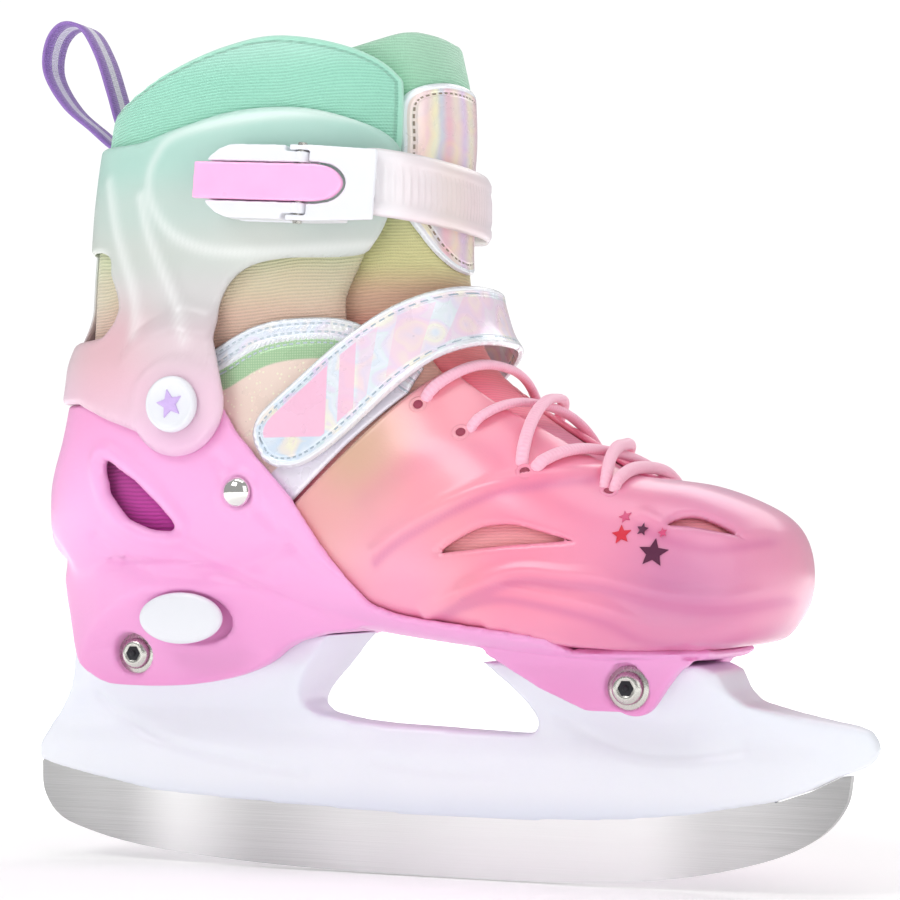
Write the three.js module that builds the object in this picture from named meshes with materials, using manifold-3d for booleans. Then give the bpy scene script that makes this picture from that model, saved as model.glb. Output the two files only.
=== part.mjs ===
// A right-foot adjustable recreational ice skate: blade, blade holder, heel shell, sliding toe shell,
// hinged cuff with a ratchet buckle, soft liner, tongue, laces and hook-and-loop instep strap.
// Millimetres. +X points to the toe, +Y to the inner side of the foot, +Z up.
// The origin lies on the blade's running edge, on its centre plane and its flat middle stretch.
import * as THREE from 'three';
import { mergeVertices } from 'three/addons/utils/BufferGeometryUtils.js';
import Module from 'manifold-3d';

const wasm = await Module();
wasm.setup();

// ---------------------------------------------------------------- driving dimensions
const GAP = 0.3; // clearance between touching pieces
const BLADE_THICKNESS = 4;
const TANG_TOP = 32; // top of the blade's tang inside the holder's groove
const POST_HALF_WIDTH = 19; // half width of the holder's two posts
const LINER_THICKNESS = 4.5;
const TOE_SHELL = { inner: 0.5, outer: 3.0 }; // distances out from the liner's surface
const HEEL_SHELL = { inner: 3.4, outer: 6.2 };
const CUFF_WALL = 2.6;
const CUFF_LOW = 7.1; // the cuff's inner distance where it covers the heel shell
const CUFF_HIGH = 1.0; // and where it lies against the collar
const PANEL = { inner: 0.9, outer: 2.5 };
const INSTEP_STRAP = { side: 3.5, top: 9, wall: 2.4 }; // inner distance at the sides and over the laces
const ANKLE = { x: -70, z: 156 }; // cuff pivot
const ANKLE_RIVET_RADIUS = 3.3;
const LUG_RADIUS = 13;
const DISC_RADIUS = 17; // the cuff's round lower end about the pivot
const DOME_RIVET = { x: -48, z: 127 };
const REAR_BOLT = { x: -97, z: 73 };
const FRONT_BOLT = { x: 80, z: 65 };
const BOLT_SEAT = 22.5; // distance of the bolt heads' seats from the centre plane
// the bolts' radii, and their heads' height
const BOLT = { shank: 3, head: 5, socket: 2.6, washer: 6.8, sleeve: 4.5, headHeight: 3 };
const BUTTON = { x: -72, z: 85.5, length: 31, height: 17 };
// The buckle's origin, below its lever's axis, its turn about the upright and its nose's dip.
const BUCKLE = { x: -21, y: -45.6, z: 225.5, turn: THREE.MathUtils.degToRad(2),
  dip: THREE.MathUtils.degToRad(4.5) };
const PIN_HEIGHT = 6.5; // lever axis above the buckle's underside
const PIN_RADIUS = 1.5;
const BUCKLE_RIVET = { x: -26, radius: 1.6 }; // its place along the buckle
const RIVET_HOLE = BUCKLE_RIVET.radius + GAP;
const LACE_RADIUS = 2.2;
const LACE_GAP_END = 84; // front end of the laced opening in the toe shell
const RING_SIDES = 20; // facets around the boot

// The boot's form, toe tip first: each section is a closed curve in a plane that holds the Y direction.
// low: its end on the sole, heel or back; high: its end on the toe, instep or shin;
// w: half width; y: sideways shift of its middle; n: squareness; k: below 1 it is widest near low.
const SECTIONS = [
  { low: [126.4, 99], high: [126.4, 101.5], w: 2.5, y: 6, n: 2, k: 1 },
  { low: [125, 91.5], high: [125, 109.5], w: 14, y: 6, n: 2.2, k: 0.9 },
  { low: [120.5, 85.5], high: [121, 115.5], w: 25, y: 5.5, n: 2.4, k: 0.85 },
  { low: [112, 81.5], high: [112.5, 120.5], w: 35, y: 5, n: 2.6, k: 0.8 },
  { low: [97, 79.3], high: [98, 125.8], w: 42, y: 3.5, n: 2.8, k: 0.75 },
  { low: [74, 79], high: [75, 130.5], w: 45.3, y: 1.5, n: 2.8, k: 0.7 },
  { low: [44, 81], high: [51, 144.5], w: 44.5, y: 0, n: 2.7, k: 0.7 },
  { low: [8, 85], high: [30.5, 160], w: 41.5, y: 0, n: 2.6, k: 0.7 },
  { low: [-30, 90], high: [19, 174], w: 38.5, y: 0, n: 2.5, k: 0.72 },
  { low: [-68, 94], high: [14.5, 187], w: 37, y: 0, n: 2.5, k: 0.76 },
  { low: [-103, 97], high: [13, 198], w: 36.3, y: 0, n: 2.5, k: 0.8 },
  { low: [-123, 101.5], high: [12.6, 207.5], w: 36.2, y: 0, n: 2.5, k: 0.84 },
  { low: [-131.5, 111.5], high: [12.6, 216], w: 36.4, y: 0, n: 2.6, k: 0.88 },
  { low: [-131, 126], high: [12.6, 223], w: 36.8, y: 0, n: 2.6, k: 0.9 },
  { low: [-126, 142], high: [12.6, 230], w: 37.4, y: 0, n: 2.7, k: 0.92 },
  { low: [-122, 160], high: [12.5, 237], w: 38.6, y: 0, n: 2.7, k: 0.93 },
  { low: [-119, 181], high: [12.3, 245], w: 40, y: 0, n: 2.8, k: 0.94 },
  { low: [-117.5, 204], high: [11.8, 254], w: 41, y: 0, n: 2.8, k: 0.95 },
  { low: [-115.5, 227], high: [11, 264], w: 41.5, y: 0, n: 2.8, k: 0.96 },
  { low: [-111.5, 249], high: [9, 275], w: 41.5, y: 0, n: 2.8, k: 0.97 },
  { low: [-105, 272], high: [7, 289], w: 41, y: 0, n: 2.8, k: 0.98 },
  { low: [-99, 296], high: [5, 304], w: 40, y: 0, n: 2.8, k: 1 },
];

// ---------------------------------------------------------------- materials
function material(color, roughness, metalness = 0) {
  return new THREE.MeshStandardMaterial({ color, roughness, metalness });
}
const BLADE_STEEL = material(0xd0d0d0, 0.32, 1);
const BOLT_STEEL = material(0xc4c4c0, 0.25, 1);
const CHROME = material(0xe2e2de, 0.08, 1);
const WHITE_PLASTIC = material(0xeef3fc, 0.4);
const PINK_PLASTIC = material(0xfdb4e6, 0.4);
const TOE_PLASTIC = material(0xf49db4, 0.42);
const CUFF_PLASTIC = material(0xdbe2de, 0.35);
const LINER_FABRIC = material(0xe0b0a0, 0.9);
const COLLAR_FABRIC = material(0xa8e0cc, 0.9);
const HEEL_FABRIC = material(0xa0208c, 0.9);
const PANEL_SHEET = material(0xe8ecf6, 0.5);
const SHINY_SHEET = material(0xd8d4e4, 0.25, 0.2);
const LACE_CORD = material(0xf8b8d0, 0.85);
const LOOP_WEBBING = material(0x9a5ab8, 0.85);
const STRAP_PLASTIC = material(0xe8dcdc, 0.4);
const BUTTON_PINK = material(0xffc0ea, 0.4);
const FOOTBED_FOAM = material(0xf0f0ee, 0.95);
const RACK_PLASTIC = material(0x5a5a60, 0.5);

// ---------------------------------------------------------------- solids and booleans
function toSolid(geometry) {
  const plain = geometry.clone();
  plain.deleteAttribute('normal');
  plain.deleteAttribute('uv');
  const merged = mergeVertices(plain, 1e-4);
  return new wasm.Manifold(new wasm.Mesh({
    numProp: 3,
    vertProperties: new Float32Array(merged.attributes.position.array),
    triVerts: new Uint32Array(merged.index.array),
  }));
}

function toGeometry(solid) {
  const mesh = solid.getMesh();
  const geometry = new THREE.BufferGeometry();
  geometry.setAttribute('position', new THREE.BufferAttribute(mesh.vertProperties, 3));
  geometry.setIndex(new THREE.BufferAttribute(mesh.triVerts, 1));
  const flat = geometry.toNonIndexed();
  flat.computeVertexNormals();
  return flat;
}

const skate = new THREE.Group();
skate.name = 'ice_skate';

function addPiece(name, shape, look, parent = skate) {
  const geometry = shape.isBufferGeometry ? shape : toGeometry(shape);
  const mesh = new THREE.Mesh(geometry, look);
  mesh.name = name;
  parent.add(mesh);
}

// ---------------------------------------------------------------- outlines and prisms
function smoothStep(from, to, value) {
  const t = THREE.MathUtils.clamp((value - from) / (to - from), 0, 1);
  return t * t * (3 - 2 * t);
}

function smoothLine(points, steps) {
  const vectors = points.map(([a, b]) => new THREE.Vector3(a, b, 0));
  const curve = new THREE.CatmullRomCurve3(vectors, false, 'centripetal');
  return curve.getPoints(steps).map((point) => [point.x, point.y]);
}

function flatPoints(pairs) {
  return pairs.map(([a, b]) => new THREE.Vector2(a, b));
}

function circleLine(x, y, radius, from, to, steps) {
  return Array.from({ length: steps + 1 }, (_, i) => {
    const angle = THREE.MathUtils.degToRad(from + ((to - from) * i) / steps);
    return [x + radius * Math.cos(angle), y + radius * Math.sin(angle)];
  });
}

function extrude(outline, depth) {
  return new THREE.ExtrudeGeometry(new THREE.Shape(flatPoints(outline)), { depth, bevelEnabled: false });
}

// Side view outline [x, z], filled from y = from to y = to.
function sidePrism(outline, from, to) {
  const geometry = extrude(outline, to - from);
  geometry.rotateX(Math.PI / 2);
  geometry.translate(0, to, 0);
  return toSolid(geometry);
}

// Front view outline [y, z], filled from x = from to x = to.
function frontPrism(outline, from, to) {
  const geometry = extrude(outline, to - from);
  geometry.applyMatrix4(new THREE.Matrix4().set(0, 0, 1, from, 1, 0, 0, 0, 0, 1, 0, 0, 0, 0, 0, 1));
  return toSolid(geometry);
}

// Plan view outline [x, y], filled from z = from to z = to.
function planPrism(outline, from, to) {
  const geometry = extrude(outline, to - from);
  geometry.translate(0, 0, from);
  return toSolid(geometry);
}

// A line of [position, half width] pairs, mirrored into a closed outline about the centre plane.
function mirrored(halfWidths) {
  return [...halfWidths.map(([position, half]) => [position, -half]), ...[...halfWidths].reverse()];
}

function swapped(outline) {
  return outline.map(([a, b]) => [b, a]);
}

// A cylinder along Y at a side view point, from y = from to y = to.
function crossPin(point, radius, from, to, sides = 20) {
  const geometry = new THREE.CylinderGeometry(radius, radius, to - from, sides);
  geometry.translate(point.x, (from + to) / 2, point.z);
  return toSolid(geometry);
}

function block(x, y, z) {
  const geometry = new THREE.BoxGeometry(x[1] - x[0], y[1] - y[0], z[1] - z[0]);
  geometry.translate((x[0] + x[1]) / 2, (y[0] + y[1]) / 2, (z[0] + z[1]) / 2);
  return toSolid(geometry);
}

// ---------------------------------------------------------------- the boot's form
function catmullRom(a, b, c, d, t) {
  const bend = (2 * a - 5 * b + 4 * c - d) * t * t;
  const twist = (3 * b - a - 3 * c + d) * t * t * t;
  return 0.5 * (2 * b + (c - a) * t + bend + twist);
}

function sectionAt(s) {
  const index = Math.min(Math.floor(s), SECTIONS.length - 2);
  const [a, b, c, d] = [-1, 0, 1, 2].map((step) => (
    SECTIONS[THREE.MathUtils.clamp(index + step, 0, SECTIONS.length - 1)]));
  const t = s - index;
  const mix = (pick) => catmullRom(pick(a), pick(b), pick(c), pick(d), t);
  return {
    lowX: mix((row) => row.low[0]),
    lowZ: mix((row) => row.low[1]),
    highX: mix((row) => row.high[0]),
    highZ: mix((row) => row.high[1]),
    w: mix((row) => row.w),
    y: mix((row) => row.y),
    n: mix((row) => row.n),
    k: mix((row) => row.k),
  };
}

function halfWidthAt(section, u) {
  const skewed = Math.pow(THREE.MathUtils.clamp(u, 0, 1), section.k);
  return section.w * Math.pow(Math.max(0, 1 - Math.pow(Math.abs(2 * skewed - 1), section.n)), 1 / section.n);
}

function formPoint(s, angle) {
  const section = sectionAt(s);
  const u = (1 - Math.cos(angle)) / 2;
  const side = angle > Math.PI ? 1 : -1;
  return new THREE.Vector3(
    section.lowX + (section.highX - section.lowX) * u,
    section.y + side * halfWidthAt(section, u),
    section.lowZ + (section.highZ - section.lowZ) * u,
  );
}

function formNormal(s, angle) {
  const step = 0.02;
  const top = SECTIONS.length - 1;
  const alongS = formPoint(Math.min(s + step, top), angle).sub(formPoint(Math.max(s - step, 0), angle));
  const around = formPoint(s, angle + step).sub(formPoint(s, angle - step));
  return around.cross(alongS).normalize();
}

// The outer face of the liner at a side view point: half width there, found along the section through it.
function formHalfWidth(x, z) {
  let best = 0;
  for (let s = 0; s <= SECTIONS.length - 1; s += 0.02) {
    const section = sectionAt(s);
    const dx = section.highX - section.lowX;
    const dz = section.highZ - section.lowZ;
    const u = ((x - section.lowX) * dx + (z - section.lowZ) * dz) / (dx * dx + dz * dz);
    const miss = Math.abs((x - section.lowX) * dz - (z - section.lowZ) * dx) / Math.hypot(dx, dz);
    if (miss < 1 && u > 0 && u < 1) {
      best = Math.max(best, halfWidthAt(section, u));
    }
  }
  return best;
}

// A closed solid of the boot's form, moved out by offset, a number or a function of the surface point.
function bootForm(offset) {
  const rings = [0.06, 0.5];
  for (let s = 1; s <= SECTIONS.length - 1; s += s < 3 ? 0.5 : 1) {
    rings.push(s);
  }
  const positions = [];
  for (const s of rings) {
    for (let i = 0; i < RING_SIDES; i += 1) {
      const angle = (2 * Math.PI * (i + 0.5)) / RING_SIDES;
      const point = formPoint(s, angle);
      const distance = typeof offset === 'function' ? offset(point) : offset;
      const placed = point.clone().addScaledVector(formNormal(s, angle), distance);
      positions.push(placed.x, placed.y, placed.z);
    }
  }
  const index = [];
  for (let ring = 0; ring < rings.length - 1; ring += 1) {
    for (let i = 0; i < RING_SIDES; i += 1) {
      const a = ring * RING_SIDES + i;
      const b = ring * RING_SIDES + ((i + 1) % RING_SIDES);
      index.push(a, a + RING_SIDES, b, b, a + RING_SIDES, b + RING_SIDES);
    }
  }
  const last = (rings.length - 1) * RING_SIDES;
  for (let i = 1; i < RING_SIDES - 1; i += 1) {
    index.push(0, i, i + 1);
    index.push(last, last + i + 1, last + i);
  }
  const geometry = new THREE.BufferGeometry();
  geometry.setAttribute('position', new THREE.Float32BufferAttribute(positions, 3));
  geometry.setIndex(index);
  const solid = toSolid(geometry);
  return solid.volume() > 0 ? solid : toSolid(flipped(geometry));
}

function flipped(geometry) {
  const turned = geometry.clone();
  const array = turned.index.array;
  for (let i = 0; i < array.length; i += 3) {
    [array[i], array[i + 1]] = [array[i + 1], array[i]];
  }
  return turned;
}

function shellBetween({ inner, outer }) {
  return bootForm(outer).subtract(bootForm(inner));
}

// ---------------------------------------------------------------- blade and holder
const RUNNING_EDGE = [
  ...smoothLine([[-148.5, 33], [-147.6, 23], [-141.5, 14.5], [-127, 9], [-104, 4.6], [-74, 2], [-44, 0.6],
    [-14, 0]], 30),
  ...smoothLine([[32, 0], [60, 0.9], [84, 3], [107, 7.4], [126, 13.6], [137.5, 21], [143.5, 29.5],
    [145.2, 38]], 30),
];
const HOLDER_LOWER_EDGE = [[-148, 34], [-125, 29], [-100, 24.5], [-72, 22.8], [-46, 21.6], [-8, 20], [42, 20],
  [68, 21.2], [93, 24], [121, 29.2], [132, 33], [142, 38]];

function makeBlade() {
  const belowHolder = HOLDER_LOWER_EDGE.filter(([x]) => Math.abs(x) > 118).map(([x, z]) => [x, z - GAP]);
  const front = belowHolder.filter(([x]) => x > 0).reverse();
  const rear = belowHolder.filter(([x]) => x < 0).reverse();
  const outline = [...RUNNING_EDGE, ...front, [116, TANG_TOP], [-116, TANG_TOP], ...rear];
  return sidePrism(outline, -BLADE_THICKNESS / 2, BLADE_THICKNESS / 2);
}

function makeHolder() {
  const frontNose = smoothLine([[142, 38], [150, 41], [154, 46], [151, 52], [140, 54.5], [127, 57]], 10);
  const frontPost = [[114, 60], [109, 64], [106, 70], [101, 72], [34, 72]];
  const archFront = smoothLine([[28, 72], [36, 65], [43, 54], [42, 49], [34, 48]], 8);
  const archRear = smoothLine([[-14, 50], [-36, 53], [-41, 57], [-38, 65], [-26, 80]], 8);
  const rearPost = [[-104, 80], [-126, 77]];
  const heel = smoothLine([[-130, 71], [-131, 62], [-136, 54], [-143, 46], [-149, 38], [-148, 34]], 8);
  const outline = [...HOLDER_LOWER_EDGE.slice(1, -1), ...frontNose, ...frontPost, ...archFront, ...archRear,
    ...rearPost, ...heel];
  const face = swapped(mirrored([[14, 4], [20, 4.4], [25, 6.2], [33, 7.6], [41, 8.2], [48, 7.4], [54, 9],
    [61, 14], [67, 18], [70, POST_HALF_WIDTH], [86, POST_HALF_WIDTH]]));
  const plan = mirrored([[-152, 2.6], [-147, 5.5], [-135, 9.5], [-122, 15], [-108, 19], [100, 19], [112, 13],
    [130, 8.5], [148, 6], [155, 2.8]]);
  return sidePrism(outline, -20, 20)
    .intersect(frontPrism(face, -160, 160))
    .intersect(planPrism(plan, 0, 100))
    .subtract(block([-160, 160], [-BLADE_THICKNESS / 2 - GAP, BLADE_THICKNESS / 2 + GAP],
      [0, TANG_TOP + GAP]))
    .subtract(crossPin(REAR_BOLT, BOLT.sleeve + GAP, -25, 25))
    .subtract(crossPin(FRONT_BOLT, BOLT.sleeve + GAP, -25, 25));
}

addPiece('blade', makeBlade(), BLADE_STEEL);
addPiece('blade_holder', makeHolder(), WHITE_PLASTIC);

// -------------------------------------------------------- heel shell with sole plate and bolt brackets
const TOE_REAR_EDGE = [[-42, 108], [-34, 118], [-9, 141], [10, 158.5], [24, 170]];

function makeHeelShell() {
  const lug = circleLine(ANKLE.x, ANKLE.z, LUG_RADIUS, 165, 15, 8);
  const strut = smoothLine([[-49, 146], [-28, 124], [-2, 91], [14, 86.5]], 6);
  const tray = [[44, 83], [60, 81], [66, 76.2], [106, 76.2], [106, 60], [-150, 60]];
  const outline = [[-150, 158], [-104, 158], ...lug, ...strut, ...tray];
  const wall = bootForm(HEEL_SHELL.outer).intersect(sidePrism(outline, -60, 60));

  const rearSide = [[-127, 105], ...smoothLine([[-130.6, 98], [-127.6, 89.5], [-123.8, 78], [-118.6, 68.6],
    [-109.5, 62.9], [-99, 62], [-87, 62], [-72, 63.2], [-57, 66.2], [-46, 70.6], [-37, 77], [-22, 81.2]],
    26), [6, 83.5], [6, 102]];
  const rearFace = swapped(mirrored([[58, 24], [64, 25.3], [74, 26.8], [84, 32], [94, 37.5], [104, 39]]));
  const rearPlan = mirrored([[-132, 16], [-127.5, 20.8], [-119, 26], [-108, 32], [-96, 36], [-80, 39],
    [-30, 39], [8, 35]]);
  const rearBracket = sidePrism(rearSide, -45, 45)
    .intersect(frontPrism(rearFace, -130, 20))
    .intersect(planPrism(rearPlan, 50, 110));

  const frontSide = [[26, 84], [28, 79], [38, 72], [51, 64], [66, 57.5],
    ...circleLine(82, 64, 8, 235, 330, 5),
    [93, 66], [97, 71], [104, 74], [66, 76.2], [48, 81]];
  const frontFace = swapped(mirrored([[50, 24.2], [64, 25.6], [72, 27.5], [80, 33], [90, 36]]));
  const frontBracket = sidePrism(frontSide, -40, 40).intersect(frontPrism(frontFace, 0, 120));

  const fit = POST_HALF_WIDTH + 0.4;
  const vent = [[-101, 139], [-99, 127], [-92, 118.5], [-83, 115], [-72, 114.5], [-78, 122], [-88, 131]];
  let shell = wall.add(rearBracket).add(frontBracket)
    .subtract(bootForm(HEEL_SHELL.inner))
    .subtract(block([-136, -12], [-fit, fit], [40, 80.4]))
    .subtract(block([14, 110], [-fit, fit], [40, 72.4]))
    .subtract(block([-101, -25], [-8.6, 8.6], [82.8, 86.6]))
    .subtract(block([-40, 8], [-8.6, 8.6], [82.8, 92]))
    .subtract(sidePrism(vent, -60, 60))
    .subtract(buttonPocket())
    .subtract(crossPin(ANKLE, ANKLE_RIVET_RADIUS + GAP, -60, 60));
  for (const bolt of [REAR_BOLT, FRONT_BOLT]) {
    shell = shell.subtract(crossPin(bolt, BOLT.shank + 0.4, -60, 60))
      .subtract(crossPin(bolt, BOLT.washer + 0.5, -60, -BOLT_SEAT))
      .subtract(crossPin(bolt, BOLT.washer + 0.5, BOLT_SEAT, 60));
  }
  return shell.subtract(crossPin(DOME_RIVET, 2.4, -60, 60));
}

// ---------------------------------------------------------------- size button, its spring and the rack
const RACK_SCREW = { x: -31.5, y: 0 };

// A cylinder along Z at a plan view point, from z = from to z = to.
function upright(point, radius, from, to) {
  const geometry = new THREE.CylinderGeometry(radius, radius, to - from, 12).rotateX(Math.PI / 2);
  return toSolid(geometry.translate(point.x, point.y, (from + to) / 2));
}

function ellipseLine(extra) {
  return Array.from({ length: 24 }, (_, i) => {
    const angle = (2 * Math.PI * i) / 24;
    return [BUTTON.x + (BUTTON.length / 2 + extra) * Math.cos(angle),
      BUTTON.z + (BUTTON.height / 2 + extra) * Math.sin(angle)];
  });
}

function buttonPocket() {
  return sidePrism(ellipseLine(0.5), -60, -26)
    .add(crossPin(BUTTON, 3, -27, -7));
}

function makeButton() {
  return sidePrism(ellipseLine(0), -39.5, -36.5)
    .add(crossPin(BUTTON, 2.5, -37, -11));
}

function makeButtonSpring() {
  const turns = 4;
  const points = Array.from({ length: turns * 8 + 1 }, (_, i) => {
    const angle = (Math.PI * i) / 4;
    return new THREE.Vector3(BUTTON.x + 4.2 * Math.cos(angle), -35.6 + (6.4 * i) / (turns * 8),
      BUTTON.z + 4.2 * Math.sin(angle));
  });
  return new THREE.ExtrudeGeometry(
    new THREE.Shape(flatPoints(circleLine(0, 0, 0.5, 0, 300, 5))),
    { steps: turns * 8, bevelEnabled: false, extrudePath: new THREE.CatmullRomCurve3(points) },
  );
}

function makeRack() {
  const teeth = [];
  for (let x = -94; x < -50; x += 5) {
    teeth.push([x, -8], [x + 1.2, -6.4], [x + 3.8, -6.4], [x + 5, -8]);
  }
  return planPrism([[-98, -8], ...teeth, [-27.5, -8], [-27.5, 8], [-98, 8]], 83.2, 86)
    .subtract(upright(RACK_SCREW, 2, 80, 100));
}

function makeRackScrew() {
  return upright(RACK_SCREW, 1.7, 83.4, 89).add(upright(RACK_SCREW, 3.4, 88.5, 89.5));
}

addPiece('heel_shell', makeHeelShell(), PINK_PLASTIC);
addPiece('size_button', makeButton(), WHITE_PLASTIC);
addPiece('size_button_spring', makeButtonSpring(), BOLT_STEEL);
addPiece('size_rack', makeRack(), RACK_PLASTIC);

// ---------------------------------------------------------------- holder bolts
function hexLine(radius) {
  return circleLine(0, 0, radius, 0, 300, 5);
}

// An outline about a side view point, filled along Y from y = from.
function alongY(outline, depth, point, from) {
  return toSolid(extrude(outline, depth).rotateX(Math.PI / 2).translate(point.x, from + depth, point.z));
}

function ring(point, outer, inner, from, to) {
  return crossPin(point, outer, from, to, 16).subtract(crossPin(point, inner, from - 1, to + 1, 16));
}

function addBoltSet(end, point) {
  const washer = BOLT_SEAT + GAP;
  const headSeat = washer + 1 + GAP;
  const bore = BOLT.shank + GAP;
  const sleeveEnd = POST_HALF_WIDTH - 0.1;
  const bolt = crossPin(point, BOLT.head, -headSeat - BOLT.headHeight, -headSeat, 16)
    .add(crossPin(point, BOLT.shank, -headSeat - 0.5, headSeat + BOLT.headHeight))
    .subtract(alongY(hexLine(BOLT.socket), 2.5, point, -headSeat - BOLT.headHeight - 1));
  const nut = alongY(hexLine(BOLT.head + 0.4), BOLT.headHeight, point, headSeat)
    .subtract(crossPin(point, bore, 0, 60));
  addPiece(`${end}_bolt`, bolt, BOLT_STEEL);
  addPiece(`${end}_nut`, nut, BOLT_STEEL);
  addPiece(`${end}_washer_outer`, ring(point, BOLT.washer, bore, -washer - 1, -washer), BOLT_STEEL);
  addPiece(`${end}_washer_inner`, ring(point, BOLT.washer, bore, washer, washer + 1), BOLT_STEEL);
  addPiece(`${end}_sleeve`, ring(point, BOLT.sleeve, bore, -sleeveEnd, sleeveEnd), BOLT_STEEL);
}

addBoltSet('rear', REAR_BOLT);
addBoltSet('front', FRONT_BOLT);

// ---------------------------------------------------------------- liner, footbed and tongue
const FRONT_SLOT = 22; // half width of the tongue in the liner's front opening

function frontOpening(half) {
  const shin = block([-20, 60], [-half, half], [140, 320]);
  const instep = sidePrism([[-10, 172], [40, 136], [70, 118], [110, 150], [40, 200], [-10, 200]],
    -half, half);
  return shin.add(instep);
}

const RIVET_FLANGE = 6.6; // radius of the ankle rivets' flanges behind the heel shell
const ANKLE_RIVET_ROOM = crossPin(ANKLE, RIVET_FLANGE + 0.6, -60, -33.5)
  .add(crossPin(ANKLE, RIVET_FLANGE + 0.6, 33.5, 60));
const HEEL_LINER_ZONE = [[-160, 60], [-34.3, 60], [-46, 167], [-160, 166]];
const TOE_LINER_ZONE = [[-33.7, 60], [140, 60], [140, 187], [8, 185], [-20, 174], [-44.7, 165]];
const COLLAR_TOP = smoothLine([[20, 214], [12, 238], [5, 260], [-8, 271], [-34, 277], [-55, 275], [-78, 268],
  [-100, 259], [-122, 254]], 14);
const COLLAR_ZONE = [[-160, 172], [-75, 174.5], [-58, 180], [-42, 191], [-20, 195], [4, 204], [22, 205],
  ...COLLAR_TOP, [-160, 250]];
const TONGUE_TOP = smoothLine([[24, 270], [15, 279], [0, 282], [-14, 278]], 6);

const linerWall = bootForm(0).subtract(bootForm(-LINER_THICKNESS));
const tongueRoom = frontOpening(FRONT_SLOT + 0.4);
const linerHeel = linerWall.intersect(sidePrism(HEEL_LINER_ZONE, -60, 60)).subtract(ANKLE_RIVET_ROOM);
const linerToe = linerWall.intersect(sidePrism(TOE_LINER_ZONE, -60, 60)).subtract(tongueRoom);
const linerCollar = linerWall.intersect(sidePrism(COLLAR_ZONE, -60, 60)).subtract(tongueRoom);
addPiece('liner_heel', linerHeel, HEEL_FABRIC);
addPiece('liner_collar', linerCollar, COLLAR_FABRIC);

const tongueZone = frontOpening(FRONT_SLOT).intersect(linerWall);
const LOWER_TONGUE = [[-6, 100], [120, 100], [60, 187], [-6, 187]];
const UPPER_TONGUE = [[-20, 204.5], [40, 204.5], ...TONGUE_TOP, [-20, 250]];
addPiece('tongue_lower', tongueZone.intersect(sidePrism(LOWER_TONGUE, -60, 60)), LINER_FABRIC);
addPiece('tongue_upper', tongueZone.intersect(sidePrism(UPPER_TONGUE, -60, 60)), COLLAR_FABRIC);

const FOOTBED_TOP = [[121, 92], [98, 87.4], [72, 87], [44, 89], [8, 93], [-30, 98], [-68, 102], [-103, 105],
  [-124, 110]];
addPiece('footbed', bootForm(-LINER_THICKNESS - 0.4)
  .intersect(sidePrism([[-124, 70], [121, 70], ...FOOTBED_TOP], -60, 60)), FOOTBED_FOAM);

// The toe part of the liner: a sole board under the footbed, and an upper in two halves with a seam along
// the toe.
function liningUnder(rise) {
  return sidePrism([[-124, 60], [140, 60], [140, 96], ...FOOTBED_TOP.map(([x, z]) => [x, z + rise])],
    -60, 60);
}

const LINER_SEAM_Y = 3;
const linerUpper = linerToe.subtract(liningUnder(GAP));
addPiece('liner_toe_sole', linerToe.intersect(liningUnder(0)), LINER_FABRIC);
addPiece('liner_toe_outer', linerUpper.intersect(block([-200, 200], [-60, LINER_SEAM_Y], [0, 300])),
  LINER_FABRIC);
addPiece('liner_toe_inner', linerUpper.intersect(block([-200, 200], [LINER_SEAM_Y + GAP, 60], [0, 300])),
  LINER_FABRIC);

// ---------------------------------------------------------------- toe shell
function makeToeShell() {
  const outline = [[-40, 60], ...TOE_REAR_EDGE, [60, 205], [160, 205], [160, 60]];
  const laceGap = mirrored([[-40, 24], [10, 22.5], [34, 20.5], [56, 16.5], [74, 11.5], [81, 7],
    [LACE_GAP_END, 1]]);
  const sideVent = smoothLine([[26, 106], [36, 112.6], [48, 115], [60, 112.8], [72, 109.6]], 8);
  const ventBottom = smoothLine([[64, 109], [48, 108.4], [36, 107]], 3);
  const topVent = [[89, -19], [95, -24], [103, -25], [111, -21.5], [104, -18.5], [96, -17.5]];
  const topVentFar = topVent.map(([x, y]) => [x, 8 - y]).reverse();
  return shellBetween(TOE_SHELL)
    .intersect(sidePrism(outline, -60, 60))
    .subtract(planPrism(laceGap, 100, 240))
    .subtract(sidePrism([...sideVent, ...ventBottom], -60, 60))
    .subtract(planPrism(topVent, 100, 140))
    .subtract(planPrism(topVentFar, 100, 140))
    .subtract(upright(RACK_SCREW, 2, 80, 100))
    .subtract(upright(RACK_SCREW, 3.8, 88.2, 100));
}

addPiece('toe_shell', makeToeShell(), TOE_PLASTIC);
addPiece('rack_screw', makeRackScrew(), BOLT_STEEL);

// ---------------------------------------------------------------- laces
// Eyelet rows, toe end first: section number and share of the section's height.
const EYELETS = [{ s: 4.95, u: 0.88 }, { s: 6, u: 0.82 }, { s: 7, u: 0.81 }, { s: 7.7, u: 0.79 }];
// the height of a lace's centre line over the liner's surface
const LACE_BED = TOE_SHELL.outer + LACE_RADIUS + 0.9;
const LACE_CROSSING = 5.2; // the upper lace's extra height where two cross

function eyeletAngle(eyelet, side) {
  const angle = Math.acos(1 - 2 * eyelet.u);
  return side < 0 ? angle : 2 * Math.PI - angle;
}

// A lace over the instep from one eyelet to another, raised by extra in the middle.
function laceSpan(from, fromSide, to, toSide, extra) {
  const points = Array.from({ length: 9 }, (_, i) => {
    const t = i / 8;
    const s = THREE.MathUtils.lerp(from.s, to.s, t);
    const angle = THREE.MathUtils.lerp(eyeletAngle(from, fromSide), eyeletAngle(to, toSide), t);
    const height = LACE_BED + extra * Math.sin(Math.PI * t) ** 2;
    return formPoint(s, angle).addScaledVector(formNormal(s, angle), height);
  });
  const section = new THREE.Shape(flatPoints(circleLine(0, 0, LACE_RADIUS, 0, 315, 7)));
  const extrudePath = new THREE.CatmullRomCurve3(points);
  return new THREE.ExtrudeGeometry(section, { steps: 8, bevelEnabled: false, extrudePath });
}

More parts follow.
